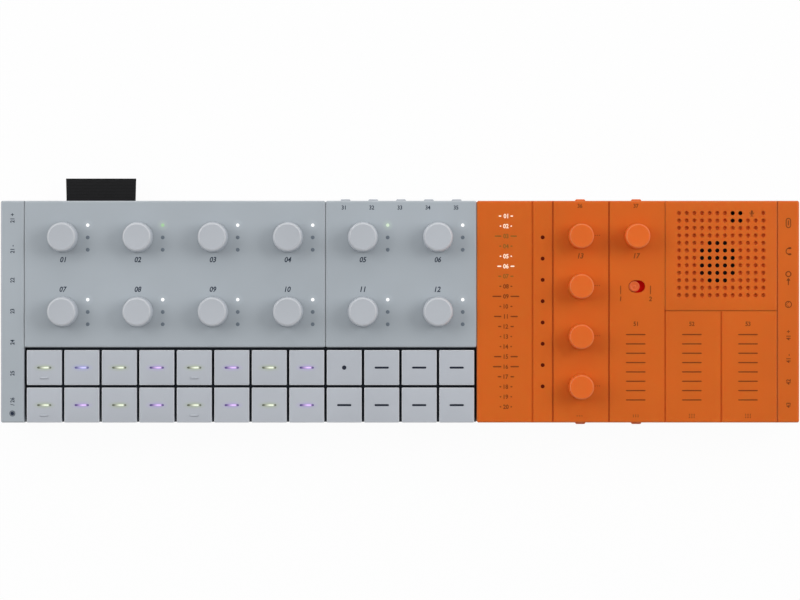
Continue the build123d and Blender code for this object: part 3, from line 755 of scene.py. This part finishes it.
# ---------------------------------------------------------------- speaker grille
HOLES = 12
HOLE_PITCH = np.array([3.28, 3.20])
HOLE_RADIUS = 0.92
FIRST_HOLE_FROM_REAR = 5.3
FIRST_HOLE = (middle("speaker_grille")[0] - (HOLES - 1) / 2 * HOLE_PITCH[0], REAR - FIRST_HOLE_FROM_REAR)
HOLE_RIM = [(HOLE_RADIUS + 0.04, 0.0), (HOLE_RADIUS, 0.05)]
HOLE = HOLE_RIM + [(HOLE_RADIUS, 0.9)]
RELIEF_RADIUS = 1.35
DIMPLE = HOLE_RIM + [(0.85, 1.05), (0.6, 1.25)]
MICROPHONE_HOLES = {(row, column) for row in (0, 1) for column in (7, 8)}
PLAIN_CELLS = {(0, 9), (0, 10)}
SPEAKER_HOLES = ({(row, column) for row in (4, 9) for column in (4, 5, 6)}
                 | {(row, column) for row in (5, 6, 7, 8) for column in (3, 4, 5, 6, 7)})
CELL_SIDES = 16
SEAM_EDGE = 0.25
CAP_EDGE = 0.45
REAR_EDGE = 0.8


def cell_outline():
    """Edge of one cell of the grille: a circle pushed out to a square and stretched to the pitch, so that its
    points meet those of the next cell."""
    square = circle(1, CELL_SIDES)
    return square / np.abs(square).max(1, keepdims=True) * HOLE_PITCH / 2


def grille_cell(x, y, kind, top, under):
    """One cell: a square that runs inwards to a round hole, to a round dimple with a dished floor, or to
    nothing. A hole is short and widens towards the back. HOLE and DIMPLE have (radius, depth)."""
    square = cell_outline()
    rings = [at_height(square, x, y, top)]
    back = skin([at_height(square, x, y, under)], close_last=False)
    if kind == "plain":
        return [skin(rings, close_first=False), back]
    section = HOLE if kind == "open" else DIMPLE
    rings += [at_height(circle(radius, CELL_SIDES), x, y, top - depth) for radius, depth in section]
    if kind == "dimple":
        return [skin(rings, close_first=False), back]
    rings += [at_height(circle(RELIEF_RADIUS, CELL_SIDES), x, y, under), at_height(square, x, y, under)]
    return [skin(rings, close_first=False, close_last=False)]


def grille_border(centre, half_field, corner_low, corner_high, top, under):
    """The plate outside the cells: rings that start on the field's edge and widen to the plate's, with a
    small rounding along the panel, a wider one at the end cap and the case's own rounding at the rear."""
    step = np.tan(np.array([-1, -0.5, 0, 0.5]) * pi / 4)
    run = ((np.arange(HOLES)[:, None] + 0.5 + step / 2) / HOLES * 2 - 1).ravel()
    ends = np.ones(len(run))
    unit = np.concatenate([np.column_stack([ends, run]), np.column_stack([-run, ends]),
                           np.column_stack([-ends, -run]), np.column_stack([run, -ends])])
    field = centre + unit * half_field
    edge = np.where(unit[:, 1] == 1, REAR_EDGE, np.where(unit[:, 0] == 1, CAP_EDGE, SEAM_EDGE))

    def plate(share):
        """The plate's outline, drawn in by a share of its rounding."""
        inner_low = corner_low + share * SEAM_EDGE
        inner_high = corner_high - share * np.array([CAP_EDGE, REAR_EDGE])
        return (inner_low + inner_high) / 2 + unit * (inner_high - inner_low) / 2

    rings = [at_height(field, 0, 0, under), at_height(plate(0), 0, 0, under)]
    for angle in np.linspace(0, pi / 2, 5):
        rings.append(np.column_stack([plate(1 - np.cos(angle)), top - edge * (1 - np.sin(angle))]))
    rings.append(at_height(field, 0, 0, top))
    return skin(rings, close_first=False, close_last=False)


def grille():
    """The flush speaker plate, with open holes over the speaker and the microphone, two plain cells under
    the microphone's symbol and blind dimples elsewhere."""
    corner_low, corner_high = low("speaker_grille"), high("speaker_grille")
    top, under = corner_high[2], corner_low[2]
    first_x, first_y = FIRST_HOLE
    shells = []
    for row in range(HOLES):
        for column in range(HOLES):
            kind = "dimple"
            if (row, column) in MICROPHONE_HOLES | SPEAKER_HOLES:
                kind = "open"
            elif (row, column) in PLAIN_CELLS:
                kind = "plain"
            x, y = first_x + column * HOLE_PITCH[0], first_y - row * HOLE_PITCH[1]
            shells += grille_cell(x, y, kind, top, under)
    centre = np.array([middle("speaker_grille")[0], first_y - (HOLES - 1) / 2 * HOLE_PITCH[1]])
    shells.append(grille_border(centre, HOLES * HOLE_PITCH / 2, corner_low[:2], corner_high[:2], top, under))
    piece("grille_plate", joined(shells), orange_shell, replaces=["speaker_grille"],
          weld=True)


# ---------------------------------------------------------------- slide switch
slider_red = moulded("slider_red", (222, 5, 5), specular=0.06).material
# rim= paints a highlight on the button's rounded edge
slider_button = moulded("slider_button", (212, 92, 37), roughness=0.36, grain=0.005, specular=0.2,
                        rim=0.16).material
SLIDER_PLATE = 0.8
SLIDER_PLATE_CORNER = 0.5
SLIDER_PLATE_EDGE = 0.15
SLIDER_SIDES = 48
SLIDER_RADIUS = 2.2
SLIDER_EDGE = 0.3
SLIDER_GROOVES = [(1.5, 0.0), (1.1, 0.24), (0.7, 0.24), (0.4, 0.04)]


def slide_switch():
    """Round sliding button with a turned ring in its top, on a red plate that shows through the rest of the
    slot."""
    x, y = middle("mode_slider")[:2]
    half_x, half_y = (high("mode_slider") - low("mode_slider"))[:2] / 2
    bottom, top = low("mode_slider")[2], high("mode_slider")[2]
    plate = slab(half_x, half_y, SLIDER_PLATE_CORNER, x, y, bottom, bottom + SLIDER_PLATE,
                 edge=SLIDER_PLATE_EDGE)
    piece("slider_plate", plate, slider_red, body="mode_slider", replaces=["mode_slider"])
    profile = [(SLIDER_RADIUS, bottom + SLIDER_PLATE / 2)] + quarter_round(SLIDER_RADIUS, top, SLIDER_EDGE)
    profile += [(radius, top - down) for radius, down in SLIDER_GROOVES]
    cap = turned(x, y, profile, SLIDER_SIDES)
    piece("slider_cap", cap, slider_button, body="mode_slider")


# ---------------------------------------------------------------- lamps
STATUS_DOTS = 8
STATUS_RADIUS = 0.84
STATUS_X = RIGHT - 109.9
STATUS_REAR_Y = REAR - 15.65
STATUS_PITCH = 9.12
LAMP_SIDES = 24
LAMP_DOME = [(1.0, -0.1), (1.0, 0.02), (0.8, 0.07), (0.4, 0.1)]
LAMP_LIGHTS = {"white": ((255, 255, 255), 1.0), "green": ((166, 206, 160), 0.85),
               "lime": ((208, 226, 202), 0.9), "unlit": ((122, 132, 142), 0)}
TINTED_LAMPS = {1: "green", 4: "lime"}


def lamp(x, y, radius):
    """Window of a lamp, a shallow dome that stands a little proud of the panel. LAMP_DOME has (share of the
    radius, height)."""
    return turned(x, y, [(radius * share, PANEL_TOP + up) for share, up in LAMP_DOME], LAMP_SIDES)


def lamps():
    """Three lamps beside each grey knob: the rear one of each column is lit, green beside the second knob and
    lime beside the fifth. A column of dark ones stands on the orange panel."""
    shells = {state: [] for state in LAMP_LIGHTS}
    for number, node in enumerate(TRACK_KNOBS):
        for place in range(LAMPS_AT_KNOB):
            state = "unlit" if place else TINTED_LAMPS.get(number, "white")
            shells[state].append(lamp(*lamp_place(node, place), LAMP_RADIUS if place else LIT_RADIUS))
    for state, group in shells.items():
        piece(f"lamps_{state}", joined(group), lamp_finish(f"lamp_{state}", *LAMP_LIGHTS[state]))
    dots = [lamp(STATUS_X, STATUS_REAR_Y - n * STATUS_PITCH, STATUS_RADIUS) for n in range(STATUS_DOTS)]
    piece("status_dots", joined(dots), lamp_finish("lamp_dark", (92, 20, 0), 0))


# ---------------------------------------------------------------- printed marks, and painted shade in two seams
FILM = 0.02
ACROSS_FILM = [(0, -FILM), (0, FILM), (1, FILM), (1, -FILM), (0, -FILM)]  # share of the width inwards, height
RING_SIDES = 28
ARC_STEPS = 14
FIGURE_WEIGHT = 0.024
FIGURE_NARROW = 0.92


def bar(x, y, length, width, turn=False):
    """A printed line with round ends, along X or, turned, along Y."""
    half_x, half_y = (width / 2, length / 2) if turn else (length / 2, width / 2)
    return slab(half_x, half_y, width / 2, x, y, PANEL_TOP - FILM, PANEL_TOP + FILM, steps=2)


def ring_mark(x, y, radius, width):
    """A printed ring: an outer wall, a flat top, an inner wall and a flat underside, closed on itself."""
    rings = [at_height(circle(radius - inner * width, RING_SIDES), x, y, PANEL_TOP + z)
             for inner, z in ACROSS_FILM]
    return skin(rings, close_first=False, close_last=False)


def arc_mark(x, y, radius, width, first, last):
    """Part of a printed ring: the four corners of its section carried anticlockwise from one angle to the
    other."""
    corners = [(radius - width, FILM), (radius, FILM), (radius, -FILM), (radius - width, -FILM)]
    rings = [[(x + reach * np.cos(angle), y + reach * np.sin(angle), PANEL_TOP + z) for reach, z in corners]
             for angle in np.linspace(first, last, ARC_STEPS + 1)]
    return skin(rings)


def plate_mark(x, y, outline):
    """A printed patch inside a convex outline that runs anticlockwise."""
    return skin([at_height(np.array(outline), x, y, PANEL_TOP + z) for z in (-FILM, FILM)])


def frame_mark(x, y, half_x, half_y, width):
    """A printed outline of a rounded rectangle."""
    rings = []
    for inner, z in ACROSS_FILM:
        side_x, side_y = half_x - inner * width, half_y - inner * width
        rings.append(at_height(rounded_outline(side_x, side_y, side_y), x, y, PANEL_TOP + z))
    return skin(rings, close_first=False, close_last=False)


def figure(text, x, y, height, slant=0.0, turn=0.0):
    """Printed figures: the font's outlines with a film's thickness, scaled to a height in millimetres, then
    slanted, turned and moved so that their own middle lies at (x, y)."""
    curve = bpy.data.curves.new("figure", "FONT")
    curve.body = text
    curve.resolution_u = 3
    curve.extrude = 0.01
    curve.offset = FIGURE_WEIGHT
    maker = bpy.data.objects.new("figure", curve)
    bpy.context.scene.collection.objects.link(maker)
    mesh = bpy.data.meshes.new_from_object(maker)
    points = np.empty(len(mesh.vertices) * 3)
    mesh.vertices.foreach_get("co", points)
    points = points.reshape(-1, 3)
    faces = [np.array([list(polygon.vertices)]) for polygon in mesh.polygons]
    bpy.data.objects.remove(maker)
    bpy.data.curves.remove(curve)
    bpy.data.meshes.remove(mesh)
    corner_low, corner_high = points[:, :2].min(0), points[:, :2].max(0)
    scale = height / (corner_high - corner_low)[1]
    flat = (points[:, :2] - (corner_high + corner_low) / 2) * scale * (FIGURE_NARROW, 1)
    flat[:, 0] += slant * flat[:, 1]
    angle = radians(turn)
    turning = np.array([[np.cos(angle), np.sin(angle)], [-np.sin(angle), np.cos(angle)]])
    z = PANEL_TOP + np.where(points[:, 2] > 0, FILM, -FILM)
    return np.column_stack([flat @ turning + (x, y), z]), faces


def mark_piece(name, marks, material):
    """A group of marks as one piece, with crisp edges."""
    piece(name, joined(marks), material, sharp=30)


TRACK_NUMBER = 2.35
TRACK_NUMBER_AWAY = 9.6
SOUND_NUMBER = 2.3
SOUND_NUMBER_AWAY = 8.4
NUMBER_SLANT = 0.2
KNOB_DOT = (0.4, 0.38)
KNOB_DOTS_AWAY = 6.1
KNOB_DOTS_BEHIND = 0.4
KNOB_DOT_PITCH = 0.93


def knob_numbers():
    """Slanted numbers in front of the rear grey knobs and behind the front ones, and in front of two orange
    knobs, with three dots to the right of each sound knob."""
    marks = []
    for number, node in enumerate(TRACK_KNOBS):
        x, y = middle(node)[:2]
        away = TRACK_NUMBER_AWAY if number >= KNOBS_IN_ROW else -TRACK_NUMBER_AWAY
        marks.append(figure(f"{number + 1:02d}", x, y + away, TRACK_NUMBER, slant=NUMBER_SLANT))
    mark_piece("knob_numbers", marks, grey_ink)
    orange = []
    for text, node in (("13", "sound_knob_1"), ("17", "effect_knob")):
        x, y = middle(node)[:2]
        orange.append(figure(text, x, y - SOUND_NUMBER_AWAY, SOUND_NUMBER, slant=NUMBER_SLANT))
    for node in SOUND_KNOBS:
        x, y = middle(node)[:2]
        orange += [bar(x + KNOB_DOTS_AWAY + KNOB_DOT_PITCH * n, y + KNOB_DOTS_BEHIND, *KNOB_DOT)
                   for n in range(3)]
    mark_piece("orange_marks", orange + switch_marks() + strip_marks(), brown_ink)


# size and place of the painted shade laid in the two engraved seams
GROOVE_FLOOR = PANEL_TOP - 0.52
SHADE_THICKNESS = 0.04
SHADE_HALF_WIDTH = 0.3
SHADE_CORNER = 0.1
SHADE_FROM_ENDS = 0.6


def painted_seam_shades():
    """Painted shade: a darker sheet with an ink finish laid on the floors of the two engraved seams
    on either side of the sound knobs.
    """
    y, half_length = (REAR + FRONT) / 2, (REAR - FRONT) / 2 - SHADE_FROM_ENDS
    shades = [slab(SHADE_HALF_WIDTH, half_length, SHADE_CORNER, module_x(index) - MODULE_PITCH / 2, y,
                   GROOVE_FLOOR, GROOVE_FLOOR + SHADE_THICKNESS) for index in (0, 1)]
    mark_piece("painted_seam_shades", shades, printed("painted_seam_shade", (182, 82, 28)))


SWITCH_MARKS_SHIFT = 0.55
SWITCH_MARKS_AWAY = 6.4
TICK = (3.7, 0.36)
TICK_FORWARD = 1.5
SWITCH_NUMBER = 2.0
SWITCH_NUMBER_FORWARD = 5.3


def switch_marks():
    """Tick lines and numbers for the two ends of the slide switch."""
    x, y = middle("mode_slider")[:2]
    marks = []
    for side, text in ((-1, "1"), (1, "2")):
        place = x + SWITCH_MARKS_SHIFT + side * SWITCH_MARKS_AWAY
        marks.append(bar(place, y - TICK_FORWARD, *TICK, turn=True))
        marks.append(figure(text, place, y - SWITCH_NUMBER_FORWARD, SWITCH_NUMBER, slant=0.1))
    return marks


STRIP_LINES = 8
STRIP_LINE = (8.4, 0.5)
STRIP_LINE_PITCH = 4.0
STRIP_REAR_Y = REAR - 57.3
STRIP_SHIFT = -0.55
STRIP_NUMBER = 1.9
STRIP_NUMBER_BEHIND = 4.6
EDGE_DOT = (0.5, 0.4)
EDGE_DOT_ROWS = (1, 2, 3, 3)
EDGE_DOT_PITCH = 0.7
EDGE_DOTS_Y = FRONT + 2.85


def strip_marks():
    """Three touch strips: eight short lines each, a number behind them and rows of dots at the front edge."""
    marks = []
    for index in (1, 2, 3):
        x = module_x(index) + STRIP_SHIFT
        marks.append(figure(f"5{index}", x, STRIP_REAR_Y + STRIP_NUMBER_BEHIND, STRIP_NUMBER))
        marks += [bar(x, STRIP_REAR_Y - n * STRIP_LINE_PITCH, *STRIP_LINE) for n in range(STRIP_LINES)]
    for index, rows in enumerate(EDGE_DOT_ROWS):
        x = module_x(index) + STRIP_SHIFT
        marks += [bar(x + column, EDGE_DOTS_Y + EDGE_DOT_PITCH * ((rows - 1) / 2 - row), *EDGE_DOT)
                  for row in range(rows) for column in (-1, 0, 1)]
    return marks


LIST_X = RIGHT - 125.65
LIST_REAR_Y = REAR - 6.55
LIST_PITCH = 4.3
LIST_WIDTHS = (6.2, 5.2, 9.5, 5.7, 3.9, 7.4, 6.5, 5.6, 11.5, 5.6, 10.2, 6.8, 5.2, 5.2, 10.2, 11.2, 7.1, 5.6,
               5.3, 4.9)
LIST_NUMBER = 1.95
LIST_NUMBER_ROOM = 3.9
LIST_SHORTEST = 0.7
LIST_LINE_WIDTH = 0.55
LIST_LIT = (0, 1, 4, 5)
LIST_DIM = (2, 3, 6)


def list_rows():
    """Twenty numbered rows, each number between two short lines; a few rows are lit or dim windows."""
    lit, dim, dark = [], [], []
    for row, width in enumerate(LIST_WIDTHS):
        y = LIST_REAR_Y - row * LIST_PITCH
        line = max(LIST_SHORTEST, (width - LIST_NUMBER_ROOM) / 2)
        away = LIST_NUMBER_ROOM / 2 + line / 2
        group = lit if row in LIST_LIT else dim if row in LIST_DIM else dark
        group.append(figure(f"{row + 1:02d}", LIST_X, y, LIST_NUMBER))
        group += [bar(LIST_X + side * away, y, line, LIST_LINE_WIDTH) for side in (-1, 1)]
    mark_piece("list_rows_lit", lit, lamp_finish("list_lit", (255, 232, 208), 0.95))
    mark_piece("list_rows_dim", dim, lamp_finish("list_dim", (150, 100, 40), 0))
    mark_piece("list_rows_dark", dark, brown_ink)


def headphones_mark(x, y):
    """Headphones seen from the right of the case: a band over two ear cups."""
    cups = [bar(x + 0.6, y + side * 1.3, 1.4, 0.8) for side in (-1, 1)]
    return [arc_mark(x + 0.3, y, 1.5, 0.4, pi / 2, 3 * pi / 2)] + cups


def line_in_mark(x, y):
    """An arrow that points rearwards into a ring."""
    head = plate_mark(x, y - 0.6, [(0.9, -0.6), (0, 0.6), (-0.9, -0.6)])
    return [bar(x, y - 2.1, 2.2, 0.45, turn=True), head, ring_mark(x, y + 1.6, 1.3, 0.45)]


def five_pin_mark(x, y):
    """A round five-pin socket: a ring with five dots on a half circle."""
    pins = [bar(x - 0.8 * np.sin(angle), y + 0.8 * np.cos(angle), 0.42, 0.4)
            for angle in np.linspace(0, pi, 5)]
    return [ring_mark(x, y, 1.5, 0.35)] + pins


def microphone_mark(x, y):
    """A capsule in a cradle on a stand."""
    capsule = plate_mark(x, y + 0.4, rounded_outline(0.45, 0.8, 0.45))
    cradle = arc_mark(x, y + 0.3, 1.0, 0.28, pi, 2 * pi)
    return [capsule, cradle, bar(x, y - 0.95, 0.6, 0.3, turn=True), bar(x, y - 1.25, 1.3, 0.3)]


def usb_c_mark(x, y):
    """The socket's own outline: a long ring with its tongue."""
    return [frame_mark(x, y, 1.15, 2.2, 0.4), bar(x, y, 2.2, 0.5, turn=True)]


def record_mark(x, y):
    """A filled dot in a thin ring."""
    return [bar(x, y, 1.75, 1.7), ring_mark(x, y, 1.25, 0.28)]


LEGEND = 1.8
REAR_GREY_X = SEAM_DRUM + 7.9 + 12.03 * np.arange(5)
REAR_GREY_Y = REAR - 2.9
REAR_ORANGE_SHIFT = -0.4
REAR_ORANGE_Y = REAR - 2.2
LEFT_TEXTS = ("21 +", "21 -", "22", "23", "24", "25", "/ 26")
LEFT_Y = REAR - 7.4 - 13.3 * np.arange(len(LEFT_TEXTS))
LAST_LEFT_BEHIND = 1.2
RECORD_FORWARD = 3.9
RIGHT_LEGEND = 1.9
RIGHT_TEXTS = ("43", "42", "41 -", "41 +")
RIGHT_Y = FRONT + 7.4 + 10 * np.arange(len(RIGHT_TEXTS))
USB_C_Y = REAR - 9.5
HEADPHONES_Y = REAR - 21.6
LINE_IN_Y = REAR - 33
FIVE_PIN_Y = REAR - 44.4
MICROPHONE_COLUMN = 9.5


def edge_legends():
    """Numbers behind the rear buttons and along the end caps, and plain symbols for the sockets, the record
    button and the microphone."""
    left_places = [*LEFT_Y[:-1], LEFT_Y[-1] + LAST_LEFT_BEHIND]
    grey = [figure(f"3{n}", x, REAR_GREY_Y, LEGEND) for n, x in enumerate(REAR_GREY_X, start=1)]
    grey += [figure(text, CAP_LEFT, y, LEGEND, turn=90) for text, y in zip(LEFT_TEXTS, left_places)]
    grey += record_mark(CAP_LEFT, LEFT_Y[-1] - RECORD_FORWARD)
    mark_piece("grey_legends", grey, grey_ink)
    orange = [figure(f"3{n + 6}", module_x(n) + REAR_ORANGE_SHIFT, REAR_ORANGE_Y, LEGEND) for n in range(2)]
    orange += usb_c_mark(CAP_RIGHT, USB_C_Y) + headphones_mark(CAP_RIGHT, HEADPHONES_Y)
    orange += line_in_mark(CAP_RIGHT, LINE_IN_Y) + five_pin_mark(CAP_RIGHT, FIVE_PIN_Y)
    orange += [figure(text, CAP_RIGHT, y, RIGHT_LEGEND, turn=90) for text, y in zip(RIGHT_TEXTS, RIGHT_Y)]
    orange += microphone_mark(FIRST_HOLE[0] + MICROPHONE_COLUMN * HOLE_PITCH[0], FIRST_HOLE[1])
    mark_piece("orange_legends", orange, brown_ink)


# ---------------------------------------------------------------- feet and screws
FOOT_SIDES = 48
FOOT_RADIUS = 5.0
FOOT_PROFILE = [(3.2, 0.12), (3.6, 0.0), (4.6, 0.0), (4.9, 0.1), (FOOT_RADIUS, 0.35)]
SCREW_ROWS = (FRONT + 7, REAR - 7)
SCREW_COLUMNS = (LEFT + 28, 0.0, RIGHT - 28)
SCREW_SIDES = 48
SCREW_SOCKET = [(0.75, 2.05), (0.8, 1.42)]
SCREW_HEAD = [(1.7, 1.36), (2.1, 1.5), (2.25, 1.8), (2.25, 2.2)]
SCREW_LOBE = 0.12


def feet():
    """Four rubber discs with rounded lower edges and a shallow dish underneath."""
    corner_low, corner_high = low("feet"), high("feet")
    profile = FOOT_PROFILE + [(FOOT_RADIUS, corner_high[2])]
    shells = [turned(x, y, profile, FOOT_SIDES)
              for x in (corner_low[0] + FOOT_RADIUS, corner_high[0] - FOOT_RADIUS)
              for y in (corner_low[1] + FOOT_RADIUS, corner_high[1] - FOOT_RADIUS)]
    piece("rubber_feet", joined(shells), rubber_finish(), replaces=["feet"])


def screw(x, y):
    """Pan-head screw seen from below: a turned head whose socket swells and narrows six times round its
    axis."""
    around = circle(1, SCREW_SIDES)
    angle = np.arange(SCREW_SIDES) * 2 * pi / SCREW_SIDES
    lobes = 1 + SCREW_LOBE * np.cos(6 * angle)
    rings = [at_height(around * (radius * lobes)[:, None], x, y, z) for radius, z in SCREW_SOCKET]
    rings += [at_height(around * radius, x, y, z) for radius, z in SCREW_HEAD]
    return skin(rings)


def screws():
    """Six case screws in the recesses of the base tray."""
    piece("case_screws", joined([screw(x, y) for x in SCREW_COLUMNS for y in SCREW_ROWS]), screw_finish())


# ---------------------------------------------------------------- fabric tag
TAG_THICKNESS = 0.36
TAG_ROUND = 0.31
TAG_AT_WALL = 0.66
TAG_ROWS = 14
TAG_FOLD_ROWS = 9
TAG_COLUMNS = 25
TAG_WIDTH_AT_WALL = 0.99
TAG_WIDTH_GROWTH = 0.02
TAG_RIPPLE = 0.05
TAG_WAVES = 5.0
TAG_WAVE_START = 1.0


def fabric_tag():
    """Folded ribbon: its middle line runs rearwards along the lower layer, turns over in a half circle and
    runs back, the layers drawing together towards the wall; the cloth is that line offset by half its
    thickness both ways and carried along X, with its sides pulled in slightly where the wall holds it."""
    corner_low, corner_high = low("fabric_tag"), high("fabric_tag")
    middle_x, _, middle_z = middle("fabric_tag")
    half_width = (corner_high[0] - corner_low[0]) / 2
    straight = np.linspace(corner_low[1], corner_high[1] - TAG_ROUND - TAG_THICKNESS / 2, TAG_ROWS)
    run = (straight - straight[0]) / (straight[-1] - straight[0])
    lift = TAG_ROUND * (TAG_AT_WALL + (1 - TAG_AT_WALL) * run)
    fold = np.linspace(-pi / 2, pi / 2, TAG_FOLD_ROWS)[1:-1]
    line_y = np.concatenate([straight, straight[-1] + TAG_ROUND * np.cos(fold), straight[::-1]])
    line_z = np.concatenate([-lift, TAG_ROUND * np.sin(fold), lift[::-1]])
    along = np.gradient(np.column_stack([line_y, line_z]), axis=0)
    along /= np.linalg.norm(along, axis=1, keepdims=True)
    normal = np.column_stack([-along[:, 1], along[:, 0]])
    across = np.linspace(-1, 1, TAG_COLUMNS)
    reach = (line_y - line_y.min()) / np.ptp(line_y)
    width = half_width * (TAG_WIDTH_AT_WALL + TAG_WIDTH_GROWTH * reach)
    travel = np.concatenate([[0], np.cumsum(np.hypot(np.diff(line_y), np.diff(line_z)))])
    length = travel[-1]
    ripple = TAG_RIPPLE * np.sin(across[None, :] * TAG_WAVES + TAG_WAVE_START) * reach[:, None]
    rows, columns = len(line_y), TAG_COLUMNS
    layers = []
    for side in (-1, 1):
        y = line_y + side * normal[:, 0] * TAG_THICKNESS / 2
        z = line_z + side * normal[:, 1] * TAG_THICKNESS / 2
        layer = np.stack([width[:, None] * across + middle_x, np.repeat(y[:, None], columns, 1),
                          middle_z + z[:, None] + ripple], -1)
        layers.append(layer.reshape(-1, 3))
    uv = np.stack(np.broadcast_arrays(across / 2 + 0.5, travel[:, None] / length), -1).reshape(-1, 2)
    cell = (np.arange(rows - 1)[:, None] * columns + np.arange(columns - 1)).ravel()
    inner = np.stack([cell, cell + 1, cell + columns + 1, cell + columns], -1)
    outer = inner[:, ::-1] + rows * columns
    edge = np.concatenate([np.arange(columns), np.arange(1, rows) * columns + columns - 1,
                           (rows - 1) * columns + np.arange(columns - 2, -1, -1),
                           np.arange(rows - 2, 0, -1) * columns])
    after = np.roll(edge, -1)
    rim = np.stack([edge, edge + rows * columns, after + rows * columns, after], -1)
    shell = (np.concatenate(layers), [inner, outer, rim])
    cloth = piece("woven_tag", shell, woven_finish(), replaces=["fabric_tag"],
                  uv=np.concatenate([uv, uv]), sharp=60)


# ---------------------------------------------------------------- stage, light and camera
IMAGE_WIDTH = 800
PIXELS_PER_MM = 2.335
CAMERA_HEIGHT = 1.7345
CAMERA_Y = 0.00035
SENSOR = 36.0
LIGHTS = [("rear_box", (0.0, 0.95, 0.95), (1.8, 0.7), 4.1),
          ("left_box", (-0.95, 0.33, 0.93), (0.75, 0.75), 6.7),
          ("right_box", (0.95, 0.33, 0.93), (0.75, 0.75), 7.5)]
FILL = 0.33
FILL_COLOUR = (0.97, 0.985, 1, 1)
PAPER = (0.82, 0.82, 0.82, 1)
PAPER_HALF = 4.0
PAPER_LIFT = 0.96


def camera():
    """Long lens straight above the case; its focal length puts the panels at their scale in the image."""
    data = bpy.data.cameras.new("camera")
    distance = CAMERA_HEIGHT - PANEL_TOP * MM
    data.sensor_width = SENSOR
    data.lens = PIXELS_PER_MM / MM * distance / IMAGE_WIDTH * SENSOR
    data.clip_end = 20
    made = bpy.data.objects.new("camera", data)
    made.location = (0, CAMERA_Y, CAMERA_HEIGHT)
    bpy.context.scene.collection.objects.link(made)
    bpy.context.scene.camera = made


def lights():
    """Soft boxes that face the table under the middle of the case. LIGHTS has (name, place, size, power)."""
    for name, place, (width, depth), power in LIGHTS:
        data = bpy.data.lights.new(name, "AREA")
        data.shape = "RECTANGLE"
        data.size = width
        data.size_y = depth
        data.energy = power
        made = bpy.data.objects.new(name, data)
        made.location = place
        made.rotation_euler = (Vector((0, 0, 0)) - Vector(place)).to_track_quat("-Z", "Y").to_euler()
        bpy.context.scene.collection.objects.link(made)


def seen_directly(tree):
    """1 for camera, mirror and glass rays, and 0 for rays that carry light to the object."""
    path = tree.nodes.new("ShaderNodeLightPath")
    total = None
    for name in ("Is Camera Ray", "Is Glossy Ray", "Is Transmission Ray"):
        if total is None:
            total = path.outputs[name]
            continue
        either = tree.nodes.new("ShaderNodeMath")
        either.operation = "MAXIMUM"
        tree.links.new(total, either.inputs[0])
        tree.links.new(path.outputs[name], either.inputs[1])
        total = either.outputs[0]
    return total


def world():
    """Even pale surroundings, plain white where they are seen directly."""
    made = bpy.data.worlds.new("studio")
    bpy.context.scene.world = made
    made.use_nodes = True
    tree = made.node_tree
    tree.nodes.clear()
    white = tree.nodes.new("ShaderNodeBackground")
    white.inputs["Strength"].default_value = 1.0
    white.inputs["Color"].default_value = (1, 1, 1, 1)
    fill = tree.nodes.new("ShaderNodeBackground")
    fill.inputs["Strength"].default_value = FILL
    fill.inputs["Color"].default_value = FILL_COLOUR
    mix = tree.nodes.new("ShaderNodeMixShader")
    tree.links.new(seen_directly(tree), mix.inputs["Fac"])
    tree.links.new(fill.outputs[0], mix.inputs[1])
    tree.links.new(white.outputs[0], mix.inputs[2])
    tree.links.new(mix.outputs[0], tree.nodes.new("ShaderNodeOutputWorld").inputs["Surface"])


def floor():
    """Large pale floor: matt paper that keeps the shadow, lifted towards white where it is seen directly, and
    clear from below."""
    corners = [(x * PAPER_HALF, y * PAPER_HALF, 0) for x, y in ((-1, -1), (1, -1), (1, 1), (-1, 1))]
    mesh = bpy.data.meshes.new("floor")
    mesh.from_pydata(corners, [], [(0, 1, 2, 3)])
    made = bpy.data.objects.new("floor", mesh)
    bpy.context.scene.collection.objects.link(made)
    material = bpy.data.materials.new("floor_paper")
    material.use_nodes = True
    tree = material.node_tree
    shader = tree.nodes["Principled BSDF"]
    shader.inputs["Base Color"].default_value = PAPER
    shader.inputs["Roughness"].default_value = 0.9
    shader.inputs["Specular IOR Level"].default_value = 0.0
    glow = tree.nodes.new("ShaderNodeEmission")
    glow.inputs["Strength"].default_value = 1.0
    both = tree.nodes.new("ShaderNodeMixShader")
    share = tree.nodes.new("ShaderNodeMath")
    share.operation = "MULTIPLY"
    share.inputs[1].default_value = PAPER_LIFT
    tree.links.new(seen_directly(tree), share.inputs[0])
    tree.links.new(share.outputs[0], both.inputs["Fac"])
    tree.links.new(shader.outputs[0], both.inputs[1])
    tree.links.new(glow.outputs[0], both.inputs[2])
    sided = tree.nodes.new("ShaderNodeMixShader")
    tree.links.new(tree.nodes.new("ShaderNodeNewGeometry").outputs["Backfacing"], sided.inputs["Fac"])
    tree.links.new(both.outputs[0], sided.inputs[1])
    tree.links.new(tree.nodes.new("ShaderNodeBsdfTransparent").outputs[0], sided.inputs[2])
    tree.links.new(sided.outputs[0], tree.nodes["Material Output"].inputs["Surface"])
    mesh.materials.append(material)


camera()
world()
lights()
floor()
finish_cad_nodes()
knobs()
keys()
grille()
slide_switch()
lamps()
knob_numbers()
painted_seam_shades()
list_rows()
edge_legends()
feet()
screws()
fabric_tag()

bpy.context.scene.view_settings.view_transform = "Standard"
